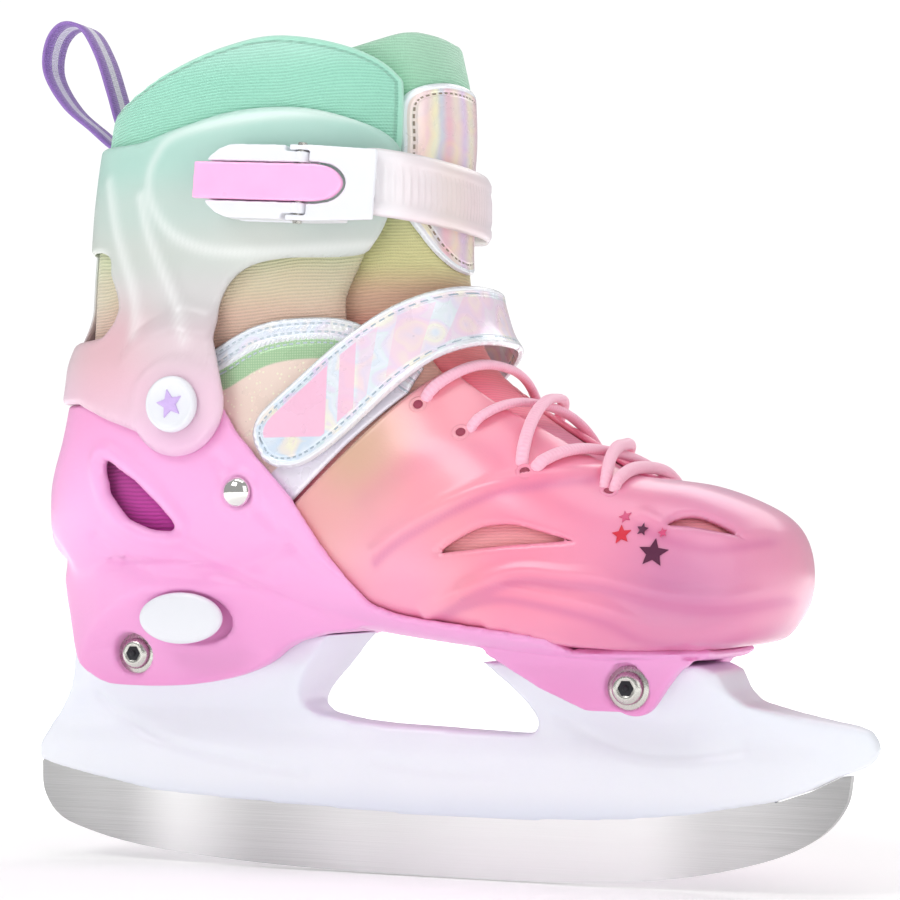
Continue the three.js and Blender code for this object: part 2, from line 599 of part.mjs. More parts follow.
function addLaces() {
  const clear = 0.14; // sections between the ends of two laces at one eyelet
  const bottom = { ...EYELETS[0], s: EYELETS[0].s - clear };
  addPiece('lace_bottom_row', laceSpan(bottom, -1, bottom, 1, 0), LACE_CORD);
  for (let row = 0; row < 2; row += 1) {
    const from = { ...EYELETS[row], s: EYELETS[row].s + clear };
    const to = { ...EYELETS[row + 1], s: EYELETS[row + 1].s - clear };
    addPiece(`lace_cross_${row + 1}_under`, laceSpan(from, 1, to, -1, 0), LACE_CORD);
    addPiece(`lace_cross_${row + 1}_over`, laceSpan(from, -1, to, 1, LACE_CROSSING), LACE_CORD);
  }
  const last = { ...EYELETS[2], s: EYELETS[2].s + clear };
  addPiece('lace_top_span', laceSpan(last, 1, EYELETS[3], -1, 0), LACE_CORD);
}

addLaces();

// ---------------------------------------------------------------- instep strap and side panels
const STRAP_UPPER = smoothLine([[-39.4, 141.6], [-40, 144.6], [-36.8, 149.6], [-27.5, 159.5], [-14.4, 172.6],
  [3.4, 187.4], [14, 194], [26, 199]], 9);
const STRAP_LOWER = smoothLine([[42, 177], [32, 173.5], [20, 168.5], [6.7, 159.2], [-8.9, 146.3],
  [-20, 138.3],
  [-28, 134], [-34, 134.6], [-37.4, 137.6]], 9);

function strapDistance(point) {
  const side = smoothStep(24, 38, Math.abs(point.y));
  return THREE.MathUtils.lerp(INSTEP_STRAP.top, INSTEP_STRAP.side, side);
}

addPiece('instep_strap', bootForm((point) => strapDistance(point) + INSTEP_STRAP.wall)
  .subtract(bootForm(strapDistance))
  .intersect(sidePrism([...STRAP_UPPER, ...STRAP_LOWER], -60, 60)), SHINY_SHEET);

const PANEL_TOP = smoothLine([[-60, 174], [-45, 181.5], [-29, 184], [-13, 182.5], [2, 174], [11, 166]], 9);
const PANEL_ZONE = [...PANEL_TOP, [8, 158], [-10.6, 142], [-35, 119.2], [-45, 110], [-52, 118], [-62, 150]];
const panels = shellBetween(PANEL).intersect(sidePrism(PANEL_ZONE, -60, 60));
addPiece('quarter_panel_outer', panels.intersect(block([-200, 200], [-60, -10], [0, 300])), PANEL_SHEET);
addPiece('quarter_panel_inner', panels.intersect(block([-200, 200], [10, 60], [0, 300])), PANEL_SHEET);

// ---------------------------------------------------------------- cuff
function cuffDistance(point) {
  const low = 1 - smoothStep(168, 192, point.z);
  const nearPivot = 1 - smoothStep(24, 34, Math.hypot(point.x - ANKLE.x, point.z - ANKLE.z));
  const behind = 1 - smoothStep(-112, -98, point.x);
  return CUFF_HIGH + (CUFF_LOW + behind - CUFF_HIGH) * Math.max(low, nearPivot);
}

function makeCuff() {
  const top = smoothLine([[2.5, 230], [1.5, 240], [-7, 246.5], [-26, 252], [-50, 252], [-72, 247.5],
    [-90, 244],
    [-130, 247]], 12);
  const disc = circleLine(ANKLE.x, ANKLE.z, DISC_RADIUS, 210, 375, 10);
  const frontEdge = smoothLine([[-57, 178], [-56.5, 190], [-49, 199.5], [-36, 203.5], [-12, 204], [-6, 208],
    [-1, 220], [2.5, 230]], 12);
  const outline = [...top, [-150, 240], [-150, 157.5], [-108, 157], [-97, 152], ...disc, ...frontEdge];
  const rearWindow = smoothLine([[-150, 209], [-104, 209], [-98, 200], [-95, 190], [-98, 182], [-106, 179],
    [-150, 178]], 12);
  const spine = block([-150, -80], [-17, 17], [100, 300]);
  return bootForm((point) => cuffDistance(point) + CUFF_WALL)
    .subtract(bootForm(cuffDistance))
    .intersect(sidePrism(outline, -60, 60))
    .subtract(sidePrism(rearWindow, -60, 60).subtract(spine))
    .subtract(block([-20, 60], [-20, 20], [150, 320]))
    .subtract(bootForm(HEEL_SHELL.outer + 0.5).intersect(crossPin(ANKLE, 24, -60, 60, 32)))
    .subtract(crossPin(ANKLE, ANKLE_RIVET_RADIUS + GAP, -60, 60))
    .subtract(cuffRivetHole());
}

// ---------------------------------------------------------------- ratchet buckle, in its own turned group
const buckle = new THREE.Group();
buckle.position.set(BUCKLE.x, BUCKLE.y, BUCKLE.z);
buckle.rotation.set(0, BUCKLE.dip, BUCKLE.turn, 'ZYX');
skate.add(buckle);

// A round hole through the cuff under the buckle's rivet.
function cuffRivetHole() {
  const along = BUCKLE_RIVET.x * Math.cos(BUCKLE.dip) * Math.cos(BUCKLE.turn);
  const rise = -BUCKLE_RIVET.x * Math.sin(BUCKLE.dip);
  return crossPin({ x: BUCKLE.x + along, z: BUCKLE.z + rise }, RIVET_HOLE, -60, -30);
}

// The buckle's own frame: x forwards along the strap, z up, and outwards = -y.
function buckleBlock(x, z, height) {
  return block(x, [-height[1], -height[0]], z);
}

function roundedRear(rear, front, half, height) {
  const outline = [[front, -half], [front, half], [rear + half, half],
    ...circleLine(rear + half, 0, half, 100, 260, 8), [rear + half, -half]];
  return sidePrism(outline, -height[1], -height[0]);
}

function makeBuckleBase() {
  const cheek = (z) => buckleBlock([-3.5, 15], z, [0, 9]);
  const front = [[-40, -12.2], [4, -12.2], [27, -11.2], [27, 11.2], [4, 12.2], [-40, 12.2]];
  const nose = [[3.6, -6.7], ...smoothLine([[6, -6.7], [11.8, -5.8], [15.6, -3.2], [17, 0], [15.6, 3.2],
    [11.8, 5.8], [6, 6.7]], 14), [3.6, 6.7]];
  const hood = buckleBlock([3.6, 27], [-12.2, 12.2], [7.4, 9]).subtract(sidePrism(nose, -20, 0));
  return roundedRear(-33, 4, 12.2, [0, 1.6])
    .subtract(crossPin({ x: BUCKLE_RIVET.x, z: 0 }, RIVET_HOLE, -10, 10))
    .subtract(buckleBlock([-4, 20], [-6.6, 6.6], [-5, 20]))
    .add(cheek([10.4, 12.2]))
    .add(cheek([-12.2, -10.4]))
    .add(hood)
    .intersect(sidePrism(front, -20, 1))
    .subtract(aboutLeverAxis(PIN_RADIUS + 0.4, 20));
}

// A cylinder about the lever's axis, half its length up and down.
function aboutLeverAxis(radius, half) {
  const geometry = new THREE.CylinderGeometry(radius, radius, 2 * half, 16).rotateX(Math.PI / 2);
  return toSolid(geometry.translate(0, -PIN_HEIGHT, 0));
}

function makeLever() {
  const grip = roundedRear(-34.8, -5, 12, [2.4, 9.2]);
  const arms = roundedRear(-30, 0, 10, [2.4, 9.2]).add(aboutLeverAxis(3.2, 10));
  const tabSlot = buckleBlock([-60, 20], [-6.4, 6.4], [4.6, 20]);
  const noseSlot = buckleBlock([-3.9, 20], [-6.4, 6.4], [-5, 20]);
  return grip.add(arms).subtract(tabSlot).subtract(noseSlot)
    .subtract(crossPin({ x: BUCKLE_RIVET.x, z: 0 }, 4.4, -3.4, 0))
    .subtract(aboutLeverAxis(PIN_RADIUS + GAP, 20));
}

function makeTab() {
  const nose = smoothLine([[6, -6], [11.4, -5], [14.8, -2.6], [16, 0], [14.8, 2.6], [11.4, 5], [6, 6]], 14);
  return sidePrism([[-36.8, -6], ...nose, [-36.8, 6]], -10, -7.4)
    .add(aboutLeverAxis(3.2, 6))
    .add(buckleBlock([-33, -2], [-6, 6], [5.2, 8]))
    .subtract(aboutLeverAxis(PIN_RADIUS + GAP, 20));
}

function makeBuckleRivet() {
  const { x, radius } = BUCKLE_RIVET;
  const profile = [[0, 0], [3.6, 0], [3.6, 0.9], [radius, 0.9], [radius, 4.5], [0, 4.5]];
  return new THREE.LatheGeometry(flatPoints(profile), 16).translate(x, -2.9, 0);
}

addPiece('cuff', makeCuff(), CUFF_PLASTIC);
addPiece('buckle_base', makeBuckleBase(), WHITE_PLASTIC, buckle);
addPiece('buckle_lever', makeLever(), WHITE_PLASTIC, buckle);
addPiece('release_tab', makeTab(), BUTTON_PINK, buckle);
addPiece('lever_pin', aboutLeverAxis(PIN_RADIUS, 13), BOLT_STEEL, buckle);
addPiece('buckle_rivet', makeBuckleRivet(), BOLT_STEEL, buckle);

// ---------------------------------------------------------------- ankle pivots and dome rivets
function starCap(side) {
  const cap = new THREE.LatheGeometry(flatPoints([[0, 0], [8.6, 0], [9, 0.6], [9, 2], [8, 3], [0, 3.2]]), 28);
  const inner = formHalfWidth(ANKLE.x, ANKLE.z) + CUFF_LOW + CUFF_WALL + 0.5;
  return (side < 0 ? cap.rotateX(Math.PI) : cap).translate(ANKLE.x, side * inner, ANKLE.z);
}

function ankleRivet(side) {
  const liner = formHalfWidth(ANKLE.x, ANKLE.z);
  const outerEnd = liner + CUFF_LOW + CUFF_WALL + 0.2;
  const shank = crossPin(ANKLE, ANKLE_RIVET_RADIUS, liner + 0.6, outerEnd);
  const flange = crossPin(ANKLE, RIVET_FLANGE, liner + 0.4, liner + 2.2, 16);
  const rivet = shank.add(flange);
  return side < 0 ? rivet.mirror([0, 1, 0]) : rivet;
}

function domeRivet(side) {
  const shellFace = formHalfWidth(DOME_RIVET.x, DOME_RIVET.z) + HEEL_SHELL.outer;
  const profile = [[0, -2.4], [2.1, -2.4], [2.1, 0.4], [4.8, 0.4], [4.4, 1.8], [3.2, 2.9], [1.6, 3.5],
    [0, 3.7]];
  const geometry = new THREE.LatheGeometry(flatPoints(profile), 20);
  return (side < 0 ? geometry.rotateX(Math.PI) : geometry)
    .translate(DOME_RIVET.x, side * shellFace, DOME_RIVET.z);
}

for (const [side, word] of [[-1, 'outer'], [1, 'inner']]) {
  addPiece(`star_cap_${word}`, starCap(side), WHITE_PLASTIC);
  addPiece(`ankle_rivet_${word}`, ankleRivet(side), BOLT_STEEL);
  addPiece(`dome_rivet_${word}`, domeRivet(side), CHROME);
}

// -------------------------------------------------------- buckle strap, its rivet, tongue tab and pull loop
const STRAP_PATH = [[-2, -50.2], [6, -48.9], [13, -44], [18, -34], [20.8, -20], [20.8, -5], [18.6, 8],
  [14.5, 20],
  [8, 32], [-1, 41], [-14, 46], [-34, 47.4]];
const STRAP_RIVET = { x: -27, z: 226 };

// A band of the given thickness along a plan view path, half height up and down from z = 0.
function band(path, thickness, half, steps) {
  const line = smoothLine(path, steps);
  const outline = [];
  const back = [];
  line.forEach(([x, y], i) => {
    const [ax, ay] = line[Math.max(i - 1, 0)];
    const [bx, by] = line[Math.min(i + 1, line.length - 1)];
    const length = Math.hypot(bx - ax, by - ay);
    const nx = ((by - ay) / length) * (thickness / 2);
    const ny = (-(bx - ax) / length) * (thickness / 2);
    outline.push([x + nx, y + ny]);
    back.unshift([x - nx, y - ny]);
  });
  return planPrism([...outline, ...back], -half, half);
}

function makeBuckleStrap() {
  const slopeDown = 0.15;
  const shear = new THREE.Matrix4().set(1, 0, 0, 0, 0, 1, 0, 0, -slopeDown, 0, 1, 0, 0, 0, 0, 1);
  const geometry = toGeometry(band(STRAP_PATH, 2.4, 10.9, 22)).applyMatrix4(shear).translate(0, 0, BUCKLE.z);
  return toSolid(geometry).subtract(crossPin(STRAP_RIVET, 2.2, 40, 60));
}

function makeStrapRivet() {
  const profile = flatPoints([[0, -3.6], [2, -3.6], [2, 0.3], [5, 0.3], [4.4, 1.5], [0, 2.2]]);
  return new THREE.LatheGeometry(profile, 16).translate(STRAP_RIVET.x, 48.6, STRAP_RIVET.z);
}

function makeTongueTab() {
  const halfWidths = [[199.5, 1], [201, 8], [206.5, 15], [216, 21.5], [226, 24.6], [238, 25.6], [250, 26.6],
    [256.5, 25.4], [260, 21], [262, 12], [262.5, 1]];
  const outline = swapped(mirrored(halfWidths));
  return bootForm(2.2).subtract(bootForm(0.6))
    .intersect(frontPrism(outline, 0, 60));
}

function makePullLoop() {
  const outer = smoothLine([[-117.5, 247], [-128, 256], [-140, 266], [-148, 279], [-147, 291], [-140, 297.5],
    [-131, 295], [-124, 284], [-119, 270], [-115.8, 259]], 22);
  const inner = smoothLine([[-119, 252.5], [-128, 258.5], [-138.6, 267.6], [-146, 280], [-145, 290],
    [-140, 295.4],
    [-132.5, 293.4], [-126, 283], [-121, 269.4], [-117.6, 258]], 22);
  return sidePrism(outer, -5.5, 5.5).subtract(sidePrism(inner, -6, 6));
}

addPiece('buckle_strap', makeBuckleStrap(), STRAP_PLASTIC);
addPiece('strap_rivet', makeStrapRivet(), BOLT_STEEL);
addPiece('tongue_tab', makeTongueTab(), SHINY_SHEET);
addPiece('pull_loop', makePullLoop(), LOOP_WEBBING);

export default skate;
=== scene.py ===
"""An adjustable recreational ice skate for the right foot, built round its CAD frame.
Lengths in this file are millimetres in the CAD frame, unless they say metres; meshes are made in metres."""
import math

import bmesh
import bpy
import numpy as np
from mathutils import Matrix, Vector
from mathutils.bvhtree import BVHTree


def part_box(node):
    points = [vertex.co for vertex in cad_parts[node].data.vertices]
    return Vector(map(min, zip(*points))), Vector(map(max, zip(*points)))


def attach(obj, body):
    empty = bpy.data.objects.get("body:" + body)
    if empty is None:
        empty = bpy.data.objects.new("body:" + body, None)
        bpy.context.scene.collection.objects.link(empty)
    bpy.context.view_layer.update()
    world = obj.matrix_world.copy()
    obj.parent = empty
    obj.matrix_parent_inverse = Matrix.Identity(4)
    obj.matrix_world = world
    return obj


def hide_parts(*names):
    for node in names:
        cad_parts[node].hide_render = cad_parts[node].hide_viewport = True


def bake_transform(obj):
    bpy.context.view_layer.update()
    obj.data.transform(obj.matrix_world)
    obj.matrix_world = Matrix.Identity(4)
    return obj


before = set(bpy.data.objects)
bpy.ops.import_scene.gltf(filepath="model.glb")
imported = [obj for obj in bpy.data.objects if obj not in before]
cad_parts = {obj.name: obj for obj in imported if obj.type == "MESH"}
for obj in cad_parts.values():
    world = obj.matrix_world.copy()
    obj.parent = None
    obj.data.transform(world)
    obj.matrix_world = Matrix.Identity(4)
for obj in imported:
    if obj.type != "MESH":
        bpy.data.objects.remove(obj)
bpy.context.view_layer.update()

MM = 0.001
CHASSIS, TOE, CUFF, LEVER, TAB, STRAP, BUTTON = (
    "chassis", "toe_part", "cuff_part", "lever", "tab", "strap", "size_button_body")
ANKLE = (-70, 156)
DOME_RIVET = (-48, 127)
REAR_BOLT = (-97, 73)
FRONT_BOLT = (80, 65)

# ------------------------------------------------------------------ the boot's form
# One row a section, toe tip first: low x, z; high x, z; half width; sideways shift; squareness; skew.
SECTIONS = np.array([
    (126.4, 99, 126.4, 101.5, 2.5, 6, 2, 1),
    (125, 91.5, 125, 109.5, 14, 6, 2.2, .9),
    (120.5, 85.5, 121, 115.5, 25, 5.5, 2.4, .85),
    (112, 81.5, 112.5, 120.5, 35, 5, 2.6, .8),
    (97, 79.3, 98, 125.8, 42, 3.5, 2.8, .75),
    (74, 79, 75, 130.5, 45.3, 1.5, 2.8, .7),
    (44, 81, 51, 144.5, 44.5, 0, 2.7, .7),
    (8, 85, 30.5, 160, 41.5, 0, 2.6, .7),
    (-30, 90, 19, 174, 38.5, 0, 2.5, .72),
    (-68, 94, 14.5, 187, 37, 0, 2.5, .76),
    (-103, 97, 13, 198, 36.3, 0, 2.5, .8),
    (-123, 101.5, 12.6, 207.5, 36.2, 0, 2.5, .84),
    (-131.5, 111.5, 12.6, 216, 36.4, 0, 2.6, .88),
    (-131, 126, 12.6, 223, 36.8, 0, 2.6, .9),
    (-126, 142, 12.6, 230, 37.4, 0, 2.7, .92),
    (-122, 160, 12.5, 237, 38.6, 0, 2.7, .93),
    (-119, 181, 12.3, 245, 40, 0, 2.8, .94),
    (-117.5, 204, 11.8, 254, 41, 0, 2.8, .95),
    (-115.5, 227, 11, 264, 41.5, 0, 2.8, .96),
    (-111.5, 249, 9, 275, 41.5, 0, 2.8, .97),
    (-105, 272, 7, 289, 41, 0, 2.8, .98),
    (-99, 296, 5, 304, 40, 0, 2.8, 1),
], float)
LAST = len(SECTIONS) - 1
TIP = 0.06


def section_at(s):
    """The form's row of numbers at a section number, which may lie between two rows."""
    s = np.asarray(s, float)
    i = np.clip(np.floor(s).astype(int), 0, LAST - 1)
    t = (s - i)[..., None]
    a, b, c, d = (SECTIONS[np.clip(i + k, 0, LAST)] for k in (-1, 0, 1, 2))
    return .5 * (2 * b + (c - a) * t + (2 * a - 5 * b + 4 * c - d) * t ** 2
                 + (3 * b - a - 3 * c + d) * t ** 3)


def form_point(s, angle):
    """The place on the form at a section number and an angle round it, 0 at the sole, outer side first."""
    s, angle = np.broadcast_arrays(np.asarray(s, float), np.asarray(angle, float))
    row = section_at(s)
    u = (1 - np.cos(angle)) / 2
    side = np.where(np.sin(angle) >= 0, -1.0, 1.0)
    skewed = np.abs(2 * u ** row[..., 7] - 1)
    half = row[..., 4] * np.maximum(0, 1 - skewed ** row[..., 6]) ** (1 / row[..., 6])
    x = row[..., 0] + (row[..., 2] - row[..., 0]) * u
    z = row[..., 1] + (row[..., 3] - row[..., 1]) * u
    return np.stack([x, row[..., 5] + side * half, z], -1)


def unit(v):
    return v / np.maximum(np.linalg.norm(v, axis=-1, keepdims=True), 1e-9)


def form_normal(s, angle):
    """The direction out of the form."""
    s, angle = np.broadcast_arrays(np.asarray(s, float), np.asarray(angle, float))
    along = form_point(np.minimum(s + .02, LAST), angle) - form_point(np.maximum(s - .02, 0), angle)
    around = form_point(s, angle + .02) - form_point(s, angle - .02)
    return unit(np.cross(around, along))


def ring_stops(start, end, step):
    """Section numbers from start to end whose rings lie about step apart."""
    stops = [start]
    for i in range(int(math.floor(start)), int(math.ceil(end))):
        a, b = section_at(i), section_at(min(i + 1, LAST))
        gap = max(np.hypot(*(a - b)[:2]), np.hypot(*(a - b)[2:4]))
        count = max(2, int(math.ceil(gap / step)))
        stops += [i + k / count for k in range(1, count + 1) if start < i + k / count < end]
    return np.array(stops + [end])


# ------------------------------------------------------------------ lines and regions
def smooth_line(points, steps=8, closed=False):
    """A Catmull-Rom line through the points."""
    p = np.array(points, float)
    n = len(p)
    spans = n if closed else n - 1
    out = []
    for i in range(spans):
        pick = (lambda k: p[(i + k) % n]) if closed else (lambda k: p[min(max(i + k, 0), n - 1)])
        a, b, c, d = pick(-1), pick(0), pick(1), pick(2)
        for t in np.arange(steps) / steps:
            out.append(.5 * (2 * b + (c - a) * t + (2 * a - 5 * b + 4 * c - d) * t ** 2
                             + (3 * b - a - 3 * c + d) * t ** 3))
    if not closed:
        out.append(p[-1])
    return np.array(out)


def line_distance(p, line, closed=False):
    """Distance to a line, and how far along it the nearest place is."""
    a = line if closed else line[:-1]
    b = np.roll(line, -1, 0) if closed else line[1:]
    ab = b - a
    length = np.maximum(np.linalg.norm(ab, axis=1), 1e-9)
    start = np.concatenate([[0], np.cumsum(length)[:-1]])
    near, along = np.empty(len(p)), np.empty(len(p))
    for k in range(0, len(p), 8000):
        ap = p[k:k + 8000, None] - a
        t = np.clip((ap * ab).sum(-1) / length ** 2, 0, 1)
        gap = np.linalg.norm(ap - t[..., None] * ab, axis=-1)
        best = gap.argmin(1)
        rows = np.arange(len(best))
        near[k:k + 8000] = gap[rows, best]
        along[k:k + 8000] = start[best] + t[rows, best] * length[best]
    return near, along


def inside_distance(p, outline):
    """Signed distance to a closed outline, positive inside."""
    near, _ = line_distance(p, outline, True)
    a, b = outline, np.roll(outline, -1, 0)
    flips = np.zeros(len(p), bool)
    for (ax, ay), (bx, by) in zip(a, b):
        if ay != by:
            crosses = (ay > p[:, 1]) != (by > p[:, 1])
            flips ^= crosses & (p[:, 0] < (bx - ax) * (p[:, 1] - ay) / (by - ay) + ax)
    return np.where(flips, near, -near)


def side(outline):
    """A region: positive inside an outline in the side view, as [x, z]."""
    line = np.array(outline, float)
    return lambda p: inside_distance(p[:, [0, 2]], line)


def plan(outline):
    """An outline from above that only counts above z = 100."""
    line = np.array(outline, float)
    return lambda p: np.minimum(inside_distance(p[:, :2], line), p[:, 2] - 100)


def front(outline):
    """An outline from the front, as [y, z], that only counts ahead of x = 0."""
    line = np.array(outline, float)
    return lambda p: np.minimum(inside_distance(p[:, [1, 2]], line), p[:, 0])


def both(*regions):
    return lambda p: np.minimum.reduce([r(p) for r in regions])


def either(*regions):
    return lambda p: np.maximum.reduce([r(p) for r in regions])


def outside(region):
    return lambda p: -region(p)


def soft_step(a, b, value):
    t = np.clip((value - a) / (b - a), 0, 1)
    return t * t * (3 - 2 * t)


def ridge(p, line, width):
    """1 on a side view line, falling to 0 over width."""
    near, _ = line_distance(p[:, [0, 2]], line)
    return np.exp(-(near / width) ** 2)


# ------------------------------------------------------------------ meshes
def make(name, points, faces, look, values=None, smooth=True):
    """A mesh object from points in millimetres, with a number on each point for each name in values."""
    mesh = bpy.data.meshes.new(name)
    mesh.from_pydata((np.asarray(points) * MM).tolist(), [], faces)
    for key, numbers in (values or {}).items():
        attribute = mesh.attributes.new(key, "FLOAT", "POINT")
        attribute.data.foreach_set("value", np.asarray(numbers, np.float32))
    mesh.polygons.foreach_set("use_smooth", [smooth] * len(mesh.polygons))
    mesh.materials.append(look)
    obj = bpy.data.objects.new(name, mesh)
    bpy.context.collection.objects.link(obj)
    return obj


def place(obj, body, slot, *nodes):
    """Hides the CAD nodes an object stands for and sets it on the body it rides; slot is not used."""
    if nodes:
        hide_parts(*nodes)
    if body:
        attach(obj, body)
    return obj


def dress(node, look):
    """Gives a look to a CAD node that stays as it is."""
    obj = bpy.data.objects[node]
    obj.material_slots[0].material = look
    return obj


def number(value, p):
    """A value for each point, from a number or a function of the points."""
    return value(p) if callable(value) else np.full(len(p), float(value))


def grid_quads(rings, sides):
    """Four-sided faces between rings of points that close on themselves."""
    index = np.arange(rings * sides).reshape(rings, sides)
    right = np.roll(index, -1, 1)
    return np.stack([index[:-1], right[:-1], right[1:], index[1:]], -1).reshape(-1, 4)


def shell(name, look, region, inner, outer, span=(TIP, LAST), step=1.7, sides=190, rim=.5, rim_width=1.2,
          values=None):
    """A closed skin over the boot's form, from inner to outer out from it, where region is positive."""
    stops = ring_stops(span[0], span[1], step)
    angles = turns(sides)
    grid = form_point(stops[:, None], angles[None])
    normals = form_normal(stops[:, None], angles[None])
    rings = len(stops)
    legs = np.linalg.norm(np.roll(grid, -1, 1) - grid, axis=-1)
    passed = np.concatenate([np.zeros((rings, 1)), np.cumsum(legs, 1)[:, :-1]], 1)
    around = np.minimum(passed, legs.sum(1, keepdims=True) - passed)
    hops = np.linalg.norm(np.diff(grid, axis=0), axis=-1).mean(1)
    along = np.repeat(np.concatenate([[0], np.cumsum(hops)])[:, None], sides, 1)
    p = grid.reshape(-1, 3)
    n = normals.reshape(-1, 3)
    uv = np.stack([around.ravel(), along.ravel()], -1)
    d = region(p)
    for _ in range(2):
        near = np.flatnonzero(np.abs(d) < .42 * step)
        if not len(near):
            break
        slope = np.stack([(region(p[near] + e) - region(p[near] - e)) / .1 for e in np.eye(3) * .05], -1)
        flat = slope - (slope * n[near]).sum(-1, keepdims=True) * n[near]
        size = (flat ** 2).sum(-1)
        move = -d[near, None] * flat / np.maximum(size, .15)[:, None]
        far = np.linalg.norm(move, axis=1, keepdims=True)
        p[near] += move * np.minimum(1, step * .6 / np.maximum(far, 1e-9))
        d[near] = region(p[near])
        d[near[np.abs(d[near]) < .06]] = 0
    quads = grid_quads(rings, sides)
    keep = d >= 0
    state = keep[quads]
    full = state.all(1) & (d[quads].max(1) > 0)
    faces = quads[full].tolist()
    more_p, more_n, more_uv, cuts = [], [], [], {}

    def cut(a, b):
        key = (min(a, b), max(a, b))
        if key not in cuts:
            t = d[a] / (d[a] - d[b])
            cuts[key] = len(p) + len(more_p)
            more_p.append(p[a] + (p[b] - p[a]) * t)
            more_n.append(n[a] + (n[b] - n[a]) * t)
            more_uv.append(uv[a] + (uv[b] - uv[a]) * t)
        return cuts[key]

    for quad in quads[state.any(1) & ~full].tolist():
        if max(d[v] for v in quad) <= 0:
            continue
        polygon = []
        for a, b in zip(quad, quad[1:] + quad[:1]):
            if keep[a]:
                polygon.append(a)
            if keep[a] != keep[b] and d[a] != 0 and d[b] != 0:
                polygon.append(cut(a, b))
        if len(polygon) > 2:
            faces.append(polygon)
    if span[0] <= TIP and keep[:sides].all():
        faces.append(list(range(sides))[::-1])
    if more_p:
        p, n = np.vstack([p, more_p]), unit(np.vstack([n, more_n]))
        uv, d = np.vstack([uv, more_uv]), np.concatenate([d, np.zeros(len(more_p))])
    used = np.unique(np.concatenate([np.array(f) for f in faces]))
    renumber = np.full(len(p), -1)
    renumber[used] = np.arange(len(used))
    p, n, uv, d = p[used], n[used], uv[used], d[used]
    faces = [renumber[f].tolist() for f in faces]
    count = len(p)
    edge = np.clip(d / rim_width, 0, 1)
    drop = rim * (1 - np.sqrt(np.clip(1 - (1 - edge) ** 2, 0, 1)))
    low, high = number(inner, p), number(outer, p)
    points = np.vstack([p + n * (high - drop)[:, None], p + n * (low + .6 * drop)[:, None]])
    directed = {(a, b) for f in faces for a, b in zip(f, f[1:] + f[:1])}
    rims = [[b, a, a + count, b + count] for a, b in directed if (b, a) not in directed]
    backs = [[v + count for v in reversed(f)] for f in faces]
    numbers = {"edge": d, "around": uv[:, 0], "along": uv[:, 1]}
    numbers.update({k: f(p) for k, f in (values or {}).items()})
    return make(name, points, faces + backs + sorted(rims), look,
                {k: np.concatenate([v, v]) for k, v in numbers.items()})


def ring_faces(rings, sides, loop=False):
    """Faces between rings of points, and flat caps on the two ends unless the rings close in a loop."""
    faces = []
    for i in range(rings if loop else rings - 1):
        a, b = i * sides, (i + 1) % rings * sides
        faces += [[a + j, a + (j + 1) % sides, b + (j + 1) % sides, b + j] for j in range(sides)]
    if not loop:
        faces += [list(range(sides))[::-1], list(range((rings - 1) * sides, rings * sides))]
    return faces


def walked(path):
    """How far along a path each of its points lies."""
    return np.concatenate([[0], np.cumsum(np.linalg.norm(np.diff(path, axis=0), axis=1))])


def turns(sides):
    """The angles of sides places round a circle."""
    return np.arange(sides) * 2 * math.pi / sides


def tube(name, look, path, radius, flat, sides=16):
    """A tube along a path of points, squeezed by flat across its width."""
    count = len(path)
    tangent = unit(np.gradient(path, axis=0))
    side_way = unit(np.cross(tangent, (0.0, 0.0, 1.0)))
    for i in range(1, count):
        across = side_way[i - 1] - tangent[i] * (side_way[i - 1] @ tangent[i])
        side_way[i] = across / max(np.linalg.norm(across), 1e-9)
    other = np.cross(side_way, tangent)
    turn = turns(sides)
    ring = np.cos(turn)[:, None] * side_way[:, None] + flat * np.sin(turn)[:, None] * other[:, None]
    points = (path[:, None] + radius * ring).reshape(-1, 3)
    numbers = {"along": np.repeat(walked(path), sides), "turn": np.tile(np.sin(turn), count),
               "turn2": np.tile(np.cos(turn), count)}
    return make(name, points, ring_faces(count, sides), look, numbers)


def lathe(name, look, profile, centre, outward, sides=56):
    """A profile of [radius, height] turned about Y at centre = (x, y, z), height running to outward * Y."""
    x, y, z = centre
    turn = turns(sides)
    points = np.vstack([np.stack([x + r * np.cos(turn), np.full(sides, y + outward * h),
                                  z + r * np.sin(turn)], -1) for r, h in profile])
    faces = ring_faces(len(profile), sides)
    return make(name, points, faces if outward < 0 else [face[::-1] for face in faces], look)


def bevel(obj, width, segments=3, angle=40):
    """Rounds the edges sharper than angle degrees, width in millimetres."""
    modifier = obj.modifiers.new("rounded edges", "BEVEL")
    modifier.width = width * MM
    modifier.segments = segments
    modifier.limit_method = "ANGLE"
    modifier.angle_limit = math.radians(angle)
    modifier.harden_normals = True
    return obj


def relax(points, edges, rounds, amount=.5):
    """Moves points towards the mean of their neighbours, rounds times."""
    degree = np.bincount(edges.ravel(), minlength=len(points)).astype(float)[:, None]
    for _ in range(rounds):
        total = np.zeros_like(points)
        np.add.at(total, edges[:, 0], points[edges[:, 1]])
        np.add.at(total, edges[:, 1], points[edges[:, 0]])
        points = points + amount * (total / np.maximum(degree, 1) - points)
    return points


